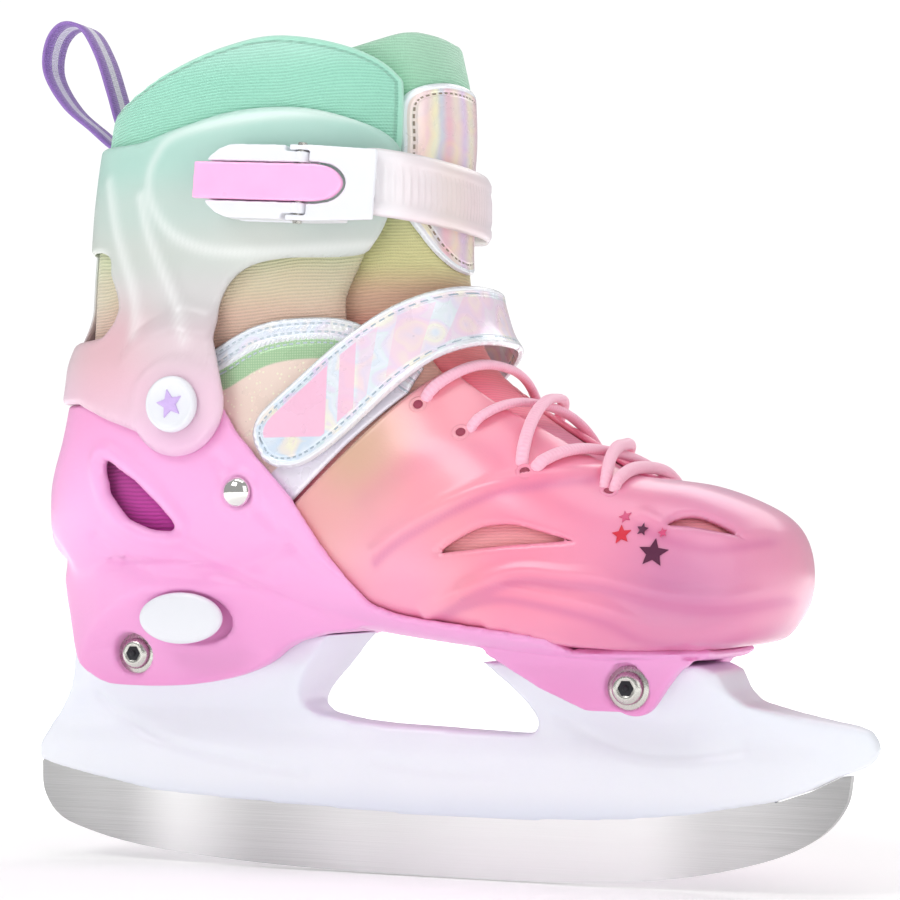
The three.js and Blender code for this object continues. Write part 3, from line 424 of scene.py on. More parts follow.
def moulded(name, node, look, voxel, rounds=3, offsets=(), reach=1.3, soft_at=None):
    """A CAD node's solid with its edges rounded.
    Each offset is (distance out from the boot's form, 1 for faces that look outwards or -1 for inwards),
    and such faces within reach of it are laid on it. Where soft_at(points) nears 1 it is smoothed more."""
    source = bpy.data.objects[node]
    copy = bpy.data.objects.new(name + "_source", source.data.copy())
    bpy.context.collection.objects.link(copy)
    copy.matrix_world = source.matrix_world
    remesh = copy.modifiers.new("remesh", "REMESH")
    remesh.mode = "VOXEL"
    remesh.voxel_size = voxel * MM
    mesh = bpy.data.meshes.new_from_object(copy.evaluated_get(bpy.context.evaluated_depsgraph_get()))
    bpy.data.objects.remove(copy)
    mesh.transform(source.matrix_world)
    count = len(mesh.vertices)
    points = np.empty(count * 3)
    mesh.vertices.foreach_get("co", points)
    points = points.reshape(-1, 3) / MM
    edges = np.empty(len(mesh.edges) * 2, int)
    mesh.edges.foreach_get("vertices", edges)
    points = relax(points, edges.reshape(-1, 2), rounds)
    normals = np.empty(count * 3)
    mesh.vertices.foreach_get("normal", normals)
    normals = normals.reshape(-1, 3)
    for offset, facing in offsets:
        tree = form_tree(offset)
        for i in range(count):
            spot, normal, _, gap = tree.find_nearest(points[i], reach)
            if spot is not None:
                match = facing * (normals[i] @ np.array(normal))
                if match > .8:
                    weight = min(1, (match - .8) / .12) * min(1, (reach - gap) / .35)
                    points[i] += weight * (np.array(spot) - points[i])
    if offsets:
        points = relax(points, edges.reshape(-1, 2), 2, .4)
    if soft_at:
        share = soft_at(points)[:, None]
        for _ in range(30):
            points = points + share * (relax(points, edges.reshape(-1, 2), 1) - points)
    faces = [list(polygon.vertices) for polygon in mesh.polygons]
    bpy.data.meshes.remove(mesh)
    return make(name, points, faces, look)


def form_tree(offset, step=2.0, sides=360):
    """The boot's form pushed out by offset, as a tree to find the nearest places on."""
    stops = ring_stops(TIP, LAST, step)
    angles = turns(sides)
    p = (form_point(stops[:, None], angles[None])
         + offset * form_normal(stops[:, None], angles[None])).reshape(-1, 3)
    return BVHTree.FromPolygons(p.tolist(), grid_quads(len(stops), sides).tolist())


# ------------------------------------------------------------------ materials
def rgb(code):
    """A linear colour from an sRGB hex code."""
    parts = [int(code[k:k + 2], 16) / 255 for k in (0, 2, 4)]
    return tuple(v / 12.92 if v <= .04045 else ((v + .055) / 1.055) ** 2.4 for v in parts) + (1,)


class Look:
    """A Principled material and short calls for the nodes that feed it."""

    def __init__(self, name, colour="FFFFFF", rough=.5, **sockets):
        self.mat = bpy.data.materials.new(name)
        self.mat.use_nodes = True
        self.tree = self.mat.node_tree
        self.shader = self.tree.nodes["Principled BSDF"]
        self.set("Base Color", rgb(colour))
        self.set("Roughness", rough)
        for key, value in sockets.items():
            self.set(key.replace("_", " "), value)
        self._coords = None

    def set(self, socket, value):
        found = self.shader.inputs[socket]
        if isinstance(value, bpy.types.NodeSocket):
            self.tree.links.new(value, found)
        else:
            found.default_value = value

    def node(self, kind, inputs=(), **settings):
        made = self.tree.nodes.new("ShaderNode" + kind)
        for key, value in settings.items():
            setattr(made, key, value)
        for key, value in dict(inputs).items():
            if isinstance(value, bpy.types.NodeSocket):
                self.tree.links.new(value, made.inputs[key])
            else:
                made.inputs[key].default_value = value
        return made

    def coords(self):
        """Object coordinates in millimetres."""
        if self._coords is None:
            found = self.node("TexCoord").outputs["Object"]
            self._coords = self.node("VectorMath", {0: found, "Scale": 1 / MM}, operation="SCALE").outputs[0]
        return self._coords

    def axis(self, name):
        return self.node("SeparateXYZ", {0: self.coords()}).outputs[name]

    def value(self, name):
        """A number that the mesh carries on its points."""
        return self.node("Attribute", attribute_name=name).outputs["Fac"]

    def math(self, operation, a, b=0.0, c=0.0):
        return self.node("Math", {0: a, 1: b, 2: c}, operation=operation).outputs[0]

    def band(self, value, start, end):
        """0 below start, 1 above end."""
        return self.node("MapRange", {"Value": value, "From Min": start, "From Max": end},
                         interpolation_type="SMOOTHSTEP").outputs[0]

    def between(self, value, low, high, soft=.2):
        rise = self.band(value, low - soft, low + soft)
        fall = self.band(value, high - soft, high + soft)
        return self.math("SUBTRACT", rise, fall)

    def spot(self, x, y, z, radius):
        """1 at a point, falling to 0 at radius."""
        gap = self.node("VectorMath", {0: self.coords(), 1: (x, y, z)}, operation="DISTANCE").outputs["Value"]
        return self.node("MapRange", {"Value": gap, "From Min": radius, "From Max": 0.0},
                         interpolation_type="SMOOTHERSTEP").outputs[0]

    def noise(self, scale, detail=3.0, stretch=(1, 1, 1), rough=.5):
        stretched = self.node("VectorMath", {0: self.coords(), 1: stretch}, operation="MULTIPLY").outputs[0]
        return self.node("TexNoise", {"Vector": stretched, "Scale": scale, "Detail": detail,
                                      "Roughness": rough}).outputs["Fac"]

    def times(self, a, b):
        return self.math("MULTIPLY", a, b)

    def flip(self, value):
        return self.math("SUBTRACT", 1.0, value)

    def tint(self, tone, factor, strength, colour):
        """The tone, mixed towards colour where factor is high."""
        return self.mix(self.times(factor, strength), tone, colour)

    def wave(self, value, pitch, sharp=1.0):
        """0 to 1 and back once every pitch."""
        turned = self.math("MULTIPLY", value, 2 * math.pi / pitch)
        level = self.math("MULTIPLY_ADD", self.math("SINE", turned), .5, .5)
        return level if sharp == 1 else self.math("POWER", level, sharp)

    def mix(self, factor, a, b, blend="MIX"):
        made = self.node("Mix", data_type="RGBA", blend_type=blend)
        for socket, value in ((0, factor), (6, a), (7, b)):
            if isinstance(value, str):
                value = rgb(value)
            if isinstance(value, bpy.types.NodeSocket):
                self.tree.links.new(value, made.inputs[socket])
            else:
                made.inputs[socket].default_value = value
        return made.outputs[2]

    def ramp(self, value, stops):
        """Colours along value: stops are (value, hex code)."""
        low, high = stops[0][0], stops[-1][0]
        scaled = self.node("MapRange", {"Value": value, "From Min": low, "From Max": high}).outputs[0]
        made = self.node("ValToRGB", {0: scaled})
        made.color_ramp.interpolation = "EASE"
        elements = made.color_ramp.elements
        while len(elements) < len(stops):
            elements.new(1.0)
        for element, (at, _) in zip(elements, stops):
            element.position = (at - low) / (high - low)
        for element, (_, code) in zip(elements, stops):
            element.color = rgb(code)
        return made.outputs[0]

    def bump(self, height, depth):
        """Bumps of height (0 to 1) times depth in millimetres."""
        made = self.node("Bump", {"Height": height, "Distance": depth * MM, "Strength": 1.0})
        self.set("Normal", made.outputs[0])

    def rough(self, factor, low, high):
        made = self.node("MapRange", {"Value": factor, "To Min": low, "To Max": high})
        self.set("Roughness", made.outputs[0])


def grain(look, depth=.05, scale=.9, wear=.06):
    """Fine moulded texture: a faint orange peel and soft uneven gloss."""
    peel = look.noise(scale, 4)
    broad = look.noise(.06, 3)
    base = look.shader.inputs["Roughness"].default_value
    look.rough(broad, base - wear, base + wear)
    return look.bump(peel, depth)


def brushed_steel():
    look = Look("brushed blade steel", "C9C9C9", .3, Metallic=1.0, Anisotropic=.4)
    lines = look.noise(1.0, 6, (.012, 1, 5.5), .65)
    fine = look.noise(1.0, 4, (.03, 1, 16), .7)
    marks = look.math("MULTIPLY_ADD", fine, .5, look.times(lines, .5))
    # Painted highlight: the blade is painted brighter along its middle and darker towards both ends.
    along = look.ramp(look.axis("X"), [(-150, "A9A9A9"), (-118, "B9B9B9"), (-92, "EDEDED"), (-60, "C6C6C6"),
                                       (-20, "E2E2E2"), (30, "F0F0F0"), (75, "F4F4F4"), (105, "CFCFCF"),
                                       (146, "A6A6A6")])
    streaks = look.ramp(marks, [(.3, "8E8E8E"), (.7, "FFFFFF")])
    look.set("Base Color", look.mix(.35, along, streaks, "OVERLAY"))
    look.rough(marks, .2, .42)
    look.bump(marks, .04)
    return look.mat


def steel(name="zinc plated steel", colour="C9C8C2", rough=.24):
    look = Look(name, colour, rough, Metallic=1.0)
    marks = look.noise(.9, 5)
    look.rough(marks, rough - .08, rough + .12)
    look.bump(look.noise(2.2, 3), .02)
    return look.mat


def chrome():
    look = Look("chrome", "E8E8E4", .06, Metallic=1.0)
    look.rough(look.noise(.5, 3), .03, .1)
    return look.mat


def white_plastic():
    look = Look("white holder plastic", "EEF2FA", .36, Coat_Weight=.15, Coat_Roughness=.2,
                Subsurface_Weight=.08, Subsurface_Radius=(.6, .6, .8), Subsurface_Scale=.004)
    # Painted light and shade: the holder is painted palest along its lower lip and darker at its bottom edge
    # and towards its top.
    shade = look.ramp(look.axis("Z"), [(18, "E3E9F5"), (32, "F3F6FC"), (60, "EFF3FB"), (84, "E9EDF7")])
    look.set("Base Color", look.tint(shade, look.noise(.05, 3), .25, "E2E8F4"))
    grain(look)
    return look.mat


def fitting_white():
    look = Look("white fitting plastic", "F3F5F9", .3, Coat_Weight=.25, Coat_Roughness=.15)
    look.set("Base Color", look.tint("EAECF1", look.noise(.12, 3), .3, "DCDFE8"))
    grain(look, .03, 1.4)
    return look.mat


def pink_plastic():
    look = Look("pink heel plastic", "FBB1E2", .36, Coat_Weight=.12, Coat_Roughness=.25,
                Subsurface_Weight=.12, Subsurface_Radius=(1, .5, .8), Subsurface_Scale=.004)
    x, z = look.axis("X"), look.axis("Z")
    # Painted shade: the heel shell is painted darker towards its bottom and a little darker at its top.
    tall = look.ramp(z, [(58, "E88FC6"), (74, "F0A2D4"), (98, "FBB0E0"), (125, "FDB6E6"), (160, "F6A6D2")])
    lilac = look.times(look.noise(.022, 2), .55)
    tone = look.mix(lilac, tall, "EDA6E0")
    rear = look.flip(look.band(x, -138.0, -112.0))
    tone = look.tint(tone, rear, .45, "F7B2D8")
    # Painted shadow: a darker pink patch low on the outer side of the heel shell.
    look.set("Base Color", look.tint(tone, look.spot(-60, -40, 92, 55), .5, "F19FD6"))
    grain(look, .05, .8)
    return look.mat


def toe_plastic():
    look = Look("toe shell plastic", "FFA8C0", .3, Coat_Weight=.3, Coat_Roughness=.18,
                Subsurface_Weight=.15, Subsurface_Radius=(1, .45, .5), Subsurface_Scale=.005)
    x = look.axis("X")
    tone = look.ramp(x, [(-45, "E3A99F"), (-8, "EBA7A6"), (20, "F79CAB"), (52, "F889A8"), (84, "EE8AAF"),
                         (108, "E58BB4"), (124, "E28CB0"), (132, "E590AE")])
    tone = look.tint(tone, look.spot(-6, -38, 142, 30), .75, "C9AE84")
    tone = look.tint(tone, look.spot(8, -42, 96, 36), .6, "FA9CC8")
    # An orchid patch on each side of the toe, the shell's own colour; the outer patch, set lower and
    # stronger, also adds painted shade in the hollow between the creases.
    tone = look.tint(tone, look.spot(100, -36, 94, 34), .85, "C472A4")
    tone = look.tint(tone, look.spot(98, 40, 99, 34), .7, "C472A4")
    tone = look.tint(tone, look.spot(92, 0, 126, 34), .55, "D58CB6")
    low = look.flip(look.band(look.axis("Z"), 80.0, 94.0))
    tone = look.tint(tone, low, .55, look.ramp(x, [(30, "F6A6C6"), (80, "DA7FA8")]))
    cloud = look.times(look.noise(.03, 2), .25)
    tone = look.mix(cloud, tone, "FFC0CC")
    # Painted shade: the toe shell is painted darker orchid in the hollow under each crease.
    look.set("Base Color", look.tint(tone, look.value("crease"), .5, "CC6A9C"))
    grain(look, .04, .9, .05)
    return look.mat


def cuff_plastic():
    look = Look("frosted cuff plastic", "DCE6E2", .34, Coat_Weight=.2, Coat_Roughness=.25,
                Subsurface_Weight=.3, Subsurface_Radius=(1, 1, 1), Subsurface_Scale=.004)
    z = look.axis("Z")
    tone = look.ramp(z, [(140, "E9BBDA"), (158, "EBC6DA"), (176, "D9C4CC"), (192, "CAC8C8"), (206, "C2CAC4"),
                         (222, "B9CEC6"), (238, "A6D0C4"), (252, "AFDACD")])
    tone = look.tint(tone, look.spot(-96, -30, 172, 36), .75, "E39CA8")
    tone = look.tint(tone, look.spot(-40, -42, 210, 24), .4, "D2D6CE")
    tone = look.tint(tone, look.spot(-104, -20, 205, 34), .35, "C8C8BE")
    cloud = look.times(look.noise(.035, 3), .22)
    tone = look.mix(cloud, tone, "DEDEDC")
    # Painted highlight: the cuff is painted paler along the pad's rim and along the ridges.
    look.set("Base Color", look.tint(tone, look.value("ridge"), .35, "FAFCFB"))
    grain(look, .04, 1.0, .07)
    return look.mat


def knit(name, rows_pitch, tone_of, depth=.22, dark=.75):
    """Ribbed knit: level rows of stitches rows_pitch apart, with fine yarn across them."""
    look = Look(name, "FFFFFF", .85, Sheen_Weight=.35, Sheen_Roughness=.5)
    level = look.axis("Z")
    wobble = look.times(look.math("SUBTRACT", look.noise(.05, 2), .5), 2.4)
    rib = look.wave(look.math("ADD", level, wobble), rows_pitch, .8)
    yarn = look.wave(look.math("MULTIPLY_ADD", level, .6, look.value("around")), .85)
    tone = tone_of(look)
    # Painted shade: the gaps between the rows are painted darker, by dark.
    tone = look.tint(tone, look.flip(rib), dark * .5, look.mix(1.0, tone, "8C8C8C", "MULTIPLY"))
    fleck = look.times(look.noise(1.8, 3), .22)
    look.set("Base Color", look.mix(fleck, tone, "FFFFFF", "SOFT_LIGHT"))
    look.bump(look.math("MULTIPLY_ADD", yarn, .25, look.times(rib, .75)), depth)
    return look.mat


def collar_tone(look):
    z = look.axis("Z")
    tone = look.ramp(z, [(168, "E3A498"), (184, "E0AE9B"), (196, "D8C0A0"), (208, "CBCB9A"), (222, "B4D8B4"),
                         (236, "98D8BE"), (262, "92D6BD"), (278, "AEE2D0")])
    return look.tint(tone, look.noise(.04, 2), .25, "B8ECD9")


def tongue_tone(look):
    z = look.axis("Z")
    return look.ramp(z, [(120, "D86AA0"), (144, "D8688E"), (160, "FF7890"), (174, "F68E90"), (190, "E2B69C"),
                         (204, "D6D398"), (222, "CACF98"), (240, "A4CBA0"), (256, "92C9A9"), (282, "A4D2B6")])


def liner_tone(look):
    return look.ramp(look.axis("Z"), [(80, "C4587E"), (108, "F0A0A4"), (124, "EE7E96"), (150, "F2B4A8"),
                                      (185, "E6C4B0")])


def heel_tone(look):
    return look.ramp(look.axis("Z"), [(90, "861E86"), (112, "CC36A8"), (132, "C648A4"), (150, "C98AA8"),
                                      (168, "E0A79A"), (184, "E0AE9B")])


def holographic(look):
    """Silver film that breaks light into soft bands of colour."""
    scale = .045
    warp = look.noise(scale, 2, (1, .7, 1.4))
    bands = look.node("TexVoronoi", {"Vector": look.coords(), "Scale": scale * 2.2}).outputs["Distance"]
    mixed = look.math("MULTIPLY_ADD", bands, .55, look.times(warp, .9))
    rainbow = look.ramp(look.math("FRACT", look.times(mixed, 2.4)), [
        (0, "DCE9F7"), (.16, "C6DCF2"), (.32, "EFE3D6"), (.46, "F6EFC8"), (.6, "F2D2DE"), (.76, "DCC8EE"),
        (.9, "CFE6EC"), (1, "DCE9F7")])
    return look.mix(.35, rainbow, "E9EDF2")


STITCH_PITCH = 2.6


def stitched_sheet(name, inset, piping, thread, pattern):
    """A coated sheet with a raised piping round its edge and a row of stitches inside it."""
    look = Look(name, "E8ECF2", .28, Coat_Weight=.5, Coat_Roughness=.12, Metallic=.15)
    edge, trail = look.value("rim"), look.value("trail")
    tone = pattern(look, holographic(look))
    dash = look.math("GREATER_THAN", look.wave(trail, STITCH_PITCH), .38)
    row = look.between(edge, inset - .28, inset + .28, .12)
    stitch = look.times(dash, row)
    pipe = look.flip(look.band(edge, piping - .15, piping + .15))
    tone = look.mix(pipe, tone, "EFF3F8")
    tone = look.mix(stitch, tone, thread)
    look.set("Base Color", tone)
    roll = look.math("SINE", look.times(look.band(edge, 0.0, piping), math.pi))
    groove = look.flip(look.between(edge, inset - .7, inset + .7, .3))
    height = look.math("MULTIPLY_ADD", roll, .5, look.math("MULTIPLY_ADD", stitch, .3,
                                                           look.times(groove, .4)))
    height = look.math("MULTIPLY_ADD", look.noise(.8, 3), .12, height)
    look.bump(height, .5)
    look.rough(look.noise(.1, 3), .2, .36)
    return look.mat


def lace_look():
    look = Look("lace cord", "F6BCD2", .8, Sheen_Weight=.4, Sheen_Roughness=.4)
    along = look.value("along")
    turn = look.math("ARCTAN2", look.value("turn"), look.value("turn2"))
    one = look.wave(look.math("MULTIPLY_ADD", turn, .45, along), 1.4)
    two = look.wave(look.math("MULTIPLY_ADD", turn, -.45, along), 1.4)
    braid = look.math("MAXIMUM", one, two)
    # Painted shade: the grooves between the braid's strands are painted darker.
    tone = look.tint("FBBBD2", look.flip(braid), .3, "E592B2")
    look.set("Base Color", look.tint(tone, look.noise(.7, 3), .3, "FFDCE8"))
    look.bump(braid, .1)
    return look.mat


def webbing_look():
    look = Look("pull loop webbing", "9A5AB8", .8, Sheen_Weight=.35, Sheen_Roughness=.4)
    wide, run = look.value("wide"), look.value("along")
    stripe = look.flip(look.band(look.math("ABSOLUTE", wide), 1.9, 2.2))
    line = look.between(look.math("ABSOLUTE", wide), 2.6, 3.0, .12)
    tone = look.mix(stripe, look.tint("A682CE", look.noise(.2, 2), .5, "8F63BA"), "F0EAFA")
    tone = look.tint(tone, line, .6, "C9B2E4")
    warp = look.wave(wide, .8)
    weft = look.wave(run, .9)
    weave = look.times(warp, weft)
    # Painted shade: the gaps in the weave are painted darker.
    tone = look.mix(look.times(look.flip(weave), .3), tone,
                    look.mix(1.0, tone, "7E7E90", "MULTIPLY"))
    look.set("Base Color", tone)
    look.bump(weave, .2)
    return look.mat


def strap_look():
    look = Look("ratchet strap plastic", "EFE4E4", .34, Coat_Weight=.2, Coat_Roughness=.2,
                Subsurface_Weight=.25, Subsurface_Radius=(1, .9, .9), Subsurface_Scale=.003)
    # Painted shade: the strap is painted darkest across the front of the ankle and palest on the inner side.
    tone = look.ramp(look.axis("Y"), [(-52, "ECEAEE"), (-42, "E6DCE0"), (-26, "DFD1CE"), (-10, "DCCBCD"),
                                      (20, "E6DBE3"), (50, "F6F2F8")])
    look.set("Base Color", look.tint(tone, look.noise(.08, 3), .4, "EBE4E6"))
    grain(look, .03, 1.2)
    return look.mat


def tab_pink():
    look = Look("pink release tab", "FFB9E6", .3, Coat_Weight=.3, Coat_Roughness=.15)
    look.set("Base Color", look.tint("FFBDE8", look.noise(.1, 3), .5, "F79FD4"))
    grain(look, .03, 1.4)
    return look.mat


def plain_look(name, colour, rough, shade, depth=.05, scale=.9, **sockets):
    look = Look(name, colour, rough, **sockets)
    look.set("Base Color", look.tint(colour, look.noise(.2, 4), .5, shade))
    look.bump(look.noise(scale, 4), depth)
    return look.mat


# ------------------------------------------------------------------ outlines in the side view
COLLAR_TOP = smooth_line([(26, 205), (20, 214), (12, 238), (5, 260), (-8, 271), (-34, 277), (-55, 275),
                          (-78, 268), (-100, 259), (-122, 254)])
TONGUE_TOP = smooth_line([(34, 262), (24, 272), (13, 278), (0, 280), (-14, 278.5), (-27, 273)])
PANEL_TOP = smooth_line([(-60, 174), (-45, 181.5), (-29, 184), (-13, 182.5), (2, 174), (11, 166)])
STRAP_UPPER = smooth_line([(-42.6, 142.6), (-43.2, 147.2), (-40.2, 153), (-29.5, 162), (-15, 174),
                           (3.4, 187.4), (14, 194), (26, 199)])
STRAP_LOWER = smooth_line([(42, 177), (32, 173.5), (20, 168.5), (6.7, 159.2), (-8, 146.3), (-18, 138.8),
                           (-26, 135), (-34, 134.8), (-39.4, 137.4)])
TOE_REAR_EDGE = [(-42, 108), (-34, 118), (-9, 141), (10, 158.5), (24, 170)]
LINER_SEAM = [(-34, 60), (-45.5, 166)]
FRONT_SLOT = 22.4
STRAP_HIGH, STRAP_LOW, STRAP_THICK = 9, 3.5, 2.4  # out from the form over the instep and at the sides


def circle_line(x, y, radius, start, end, steps):
    """An arc from start to end degrees."""
    turn = np.radians(np.linspace(start, end, steps + 1))
    return np.stack([x + radius * np.cos(turn), y + radius * np.sin(turn)], -1)


def mirrored(half_widths):
    """A closed outline from [along, half width] rows."""
    line = np.array(half_widths, float)
    return np.vstack([line * (1, -1), line[::-1]])


def slot_half(p):
    """Half the width of the liner's front opening, which the tongue fills; it widens down the shin."""
    return 26 + 4.7 * (1 - soft_step(188, 232, p[:, 2]))


def in_front_slot(half):
    """A region: the liner's front opening, half wide each side, down the shin and the instep."""
    across = lambda p: number(half, p) - np.abs(p[:, 1])
    shin = lambda p: np.minimum.reduce([across(p), p[:, 0] + 26, p[:, 2] - 140])
    instep = side([(-10, 172), (40, 136), (70, 118), (110, 150), (40, 200), (-10, 200)])
    return either(shin, both(instep, across))


# ------------------------------------------------------------------ liner and tongue
def add_liner():
    heel_zone = np.vstack([[(-160, 60)], LINER_SEAM, [(-46, 172), (-160, 172)]])
    collar_zone = np.vstack([[(-160, 171.4), (-12, 171.4), (34, 180)], COLLAR_TOP, [(-160, 250)]])
    heel = shell("liner_heel_skin", knit("purple liner knit", 1.35, heel_tone), side(heel_zone), -4.5, -.2,
                 (8, 17), step=2.0, rim=.3)
    puff = lambda p: .9 * np.sin(np.clip((p[:, 2] - 240) / 38, 0, 1) * math.pi)
    wrap = both(side(collar_zone), outside(in_front_slot(slot_half)))
    collar = shell("liner_collar_skin", collar_knit(), wrap, lambda p: -4.7 - puff(p), puff, (9, LAST),
                   rim=1.9, rim_width=2.6)
    toe_zone = [(-46, 60), (140, 60), (140, 187), (8, 187), (-20, 178), (-52, 172)]
    toe = shell("liner_toe_skin", knit("peach liner knit", 1.0, liner_tone, depth=.12, dark=.35),
                both(side(toe_zone), outside(in_front_slot(FRONT_SLOT))), -4.9, -.45, (TIP, 12), step=2.0,
                rim=.8, rim_width=1.6)
    for obj, slot, node in ((heel, "heel_fabric", "liner_heel"), (collar, "collar_fabric", "liner_collar")):
        place(obj, None, slot, node)
        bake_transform(obj)
    place(toe, None, "liner_fabric", "liner_toe_sole", "liner_toe_outer", "liner_toe_inner")
    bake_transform(toe)


def collar_knit():
    """The collar's finer knit, which follows the collar's lean, with piping round its top."""
    look = Look("collar knit", "FFFFFF", .86, Sheen_Weight=.4, Sheen_Roughness=.5)
    z, edge = look.axis("Z"), look.value("edge")
    drift = look.times(look.math("SUBTRACT", look.noise(.02, 2), .5), 9.0)
    run = look.math("ADD", z, look.math("MULTIPLY_ADD", look.axis("X"), -.06, drift))
    rib = look.wave(run, 1.05, .8)
    yarn = look.wave(look.math("MULTIPLY_ADD", run, .6, look.axis("X")), .9)
    high = look.band(z, 216.0, 232.0)
    piping = look.times(high, look.flip(look.band(edge, 1.7, 2.1)))
    seam = look.times(high, look.between(edge, 2.0, 2.7, .2))
    tone = collar_tone(look)
    # Painted shade: the gaps between the rows are painted darker.
    gap = look.times(look.flip(rib), .3)
    tone = look.mix(gap, tone, look.mix(1.0, tone, "7F9A90", "MULTIPLY"))
    tone = look.mix(look.times(look.noise(1.8, 3), .22), tone, "FFFFFF", "SOFT_LIGHT")
    tone = look.tint(tone, piping, .85, "A6E2CB")
    tone = look.tint(tone, seam, .45, "6FA48E")
    look.set("Base Color", tone)
    rows = look.times(look.math("MULTIPLY_ADD", yarn, .25, look.times(rib, .75)),
                     look.flip(piping))
    height = look.math("ADD", rows, look.times(look.math("SUBTRACT", piping, seam), .8))
    look.bump(height, .26)
    return look.mat


def tongue_rise(p):
    """How far out the tongue's face lies: proud between the liner's edges, sinking to pass under them."""
    middle = 1.2 + .9 * np.sin(np.clip((p[:, 2] - 236) / 46, 0, 1) * math.pi)
    past = np.abs(p[:, 1]) - slot_half(p)
    return middle - .007 * p[:, 1] ** 2 - (middle + .8) * soft_step(-4.5, 3, past)


def add_tongue():
    upper_zone = np.vstack([[(-27, 178), (44, 178)], TONGUE_TOP])
    lower_zone = [(-8, 100), (120, 100), (60, 191), (20, 191), (-8, 187)]
    wide = lambda p: np.minimum.reduce([slot_half(p) + 6 + 9 * soft_step(256, 266, p[:, 2]) - np.abs(p[:, 1]),
                                        p[:, 0] + 32])
    ribs = knit("tongue knit", 1.05, tongue_tone, depth=.18, dark=.5)
    crown = lambda p: 279.5 - .012 * np.maximum(0, np.abs(p[:, 1]) - 15) ** 2 - p[:, 2]
    upper = shell("tongue_upper_skin", ribs, both(both(side(upper_zone), wide), crown),
                  lambda p: tongue_rise(p) - 5.2, tongue_rise, (9, LAST), step=1.7, rim=1.9, rim_width=2.6)
    place(upper, CUFF, "tongue_fabric", "tongue_upper")
    mesh = knit("instep tongue mesh", .9, tongue_tone, depth=.1, dark=.3)
    low_tuck = lambda p: .2 - 5.8 * soft_step(-4, 3, np.abs(p[:, 1]) - FRONT_SLOT)
    lower = shell("tongue_lower_skin", mesh, both(side(lower_zone), in_front_slot(FRONT_SLOT + 5)),
                  lambda p: low_tuck(p) - 4.6, low_tuck, (3.5, 12), step=1.8, rim=1.2, rim_width=2)
    place(lower, TOE, "tongue_fabric", "tongue_lower")


# ------------------------------------------------------------------ toe shell
TOE_INNER, TOE_OUTER = .5, 3.0
CREASES = [
    (smooth_line([(2, 108), (9, 113), (17, 117.5), (28, 122.6), (40, 127), (54, 129.6), (70, 131)]),
     1.0, 1.9),
    (smooth_line([(18, 90), (30, 94.8), (42, 99.5), (54, 102), (67, 101), (78, 99.9), (95, 95.6), (111, 94.1),
                  (124, 96.5)]), 1.2, 2.0),
    (smooth_line([(34, 96), (48, 97), (66, 94), (80, 90.6), (92, 86.6), (110, 87), (123, 89.5)]), 1.0, 1.8),
    (smooth_line([(89, 117), (97, 113.6), (109, 110.8), (121, 112.7)]), .9, 1.8),
    (smooth_line([(40, 86.5), (64, 84), (82, 81.5), (102, 80.4)]), .8, 1.5),
    (smooth_line([(-2, 128), (10, 136), (26, 142), (40, 141)]), .3, 6),
]


def toe_relief(p):
    """How far the toe shell's moulded creases and its welt rise."""
    lift = sum(height * ridge(p, line, width) for line, height, width in CREASES)
    lift = lift * (1 - soft_step(108, 123, p[:, 0]))
    welt = 1.3 * np.exp(-((p[:, 2] - 83.5) / 2.4) ** 2) * soft_step(30, 60, p[:, 0])
    return lift + welt


def toe_shadow(p):
    """1 in the hollow under each crease, where the toe shell is painted darker as shade."""
    low = sum(height * ridge(p + (0, 0, 3.6), line, width * .8) for line, height, width in CREASES)
    return np.clip(low, 0, 1)


def add_toe_shell():
    outline = np.vstack([[(-40, 60)], smooth_line(TOE_REAR_EDGE), [(60, 205), (160, 205), (160, 60)]])
    gap = mirrored([(-40, 24), (10, 22.5), (34, 20.5), (56, 16.5), (74, 11.5), (81, 7), (84, 1)])
    vent_top = smooth_line([(24, 106.8), (31, 111.2), (40, 115), (50, 115.6), (59, 113.4), (69, 110.4)])
    vent_bottom = smooth_line([(60, 109.9), (48, 109.3), (35, 108)])
    side_vent = np.vstack([vent_top, vent_bottom])
    top_vent = smooth_line([(96.5, -35), (100, -30.8), (105, -27.2), (114.5, -23.4), (110, -27.4),
                            (103.6, -31.4)], 5, True)
    region = both(side(outline), outside(plan(gap)), outside(side(side_vent)), outside(plan(top_vent)),
                  outside(plan(top_vent * (1, -1) + (0, 4))))
    obj = shell("toe_shell_skin", toe_plastic(), region, TOE_INNER, lambda p: TOE_OUTER + toe_relief(p),
                (TIP, 10.5), step=1.35, sides=230, rim=.7, rim_width=1.4, values={"crease": toe_shadow})
    place(obj, TOE, "toe_plastic", "toe_shell")

# ------------------------------------------------------------------ laces
# Each row's section number, and its share of the way up from the sole.
EYELETS = [(4.95, .88), (5.94, .79), (6.9, .8), (7.75, .79)]
LACE_BED, LACE_DIVE, LACE_CLEAR = 4.9, 6.5, .05
LACE_RADIUS, LACE_FLAT = 2.1, .72


def eyelet_turn(share, side_sign):
    """The angle round the boot of an eyelet on the outer (-1) or inner (1) side."""
    turn = math.acos(1 - 2 * share)
    return turn if side_sign < 0 else 2 * math.pi - turn


def lace_path(start, start_side, end, end_side, extra):
    """From eyelet to eyelet over the tongue, raised by extra at the middle, diving in at both ends."""
    first, last = eyelet_turn(start[1], start_side), eyelet_turn(end[1], end_side)
    t = np.linspace(0, 1, 33)
    s = start[0] + (end[0] - start[0]) * t
    turn = first + (last - first) * t
    dive = LACE_DIVE * (1 - np.clip(np.minimum(t, 1 - t) / .1, 0, 1)) ** 2
    height = LACE_BED + extra * np.sin(math.pi * t) ** 2 - dive
    return form_point(s, turn) + form_normal(s, turn) * height[:, None]


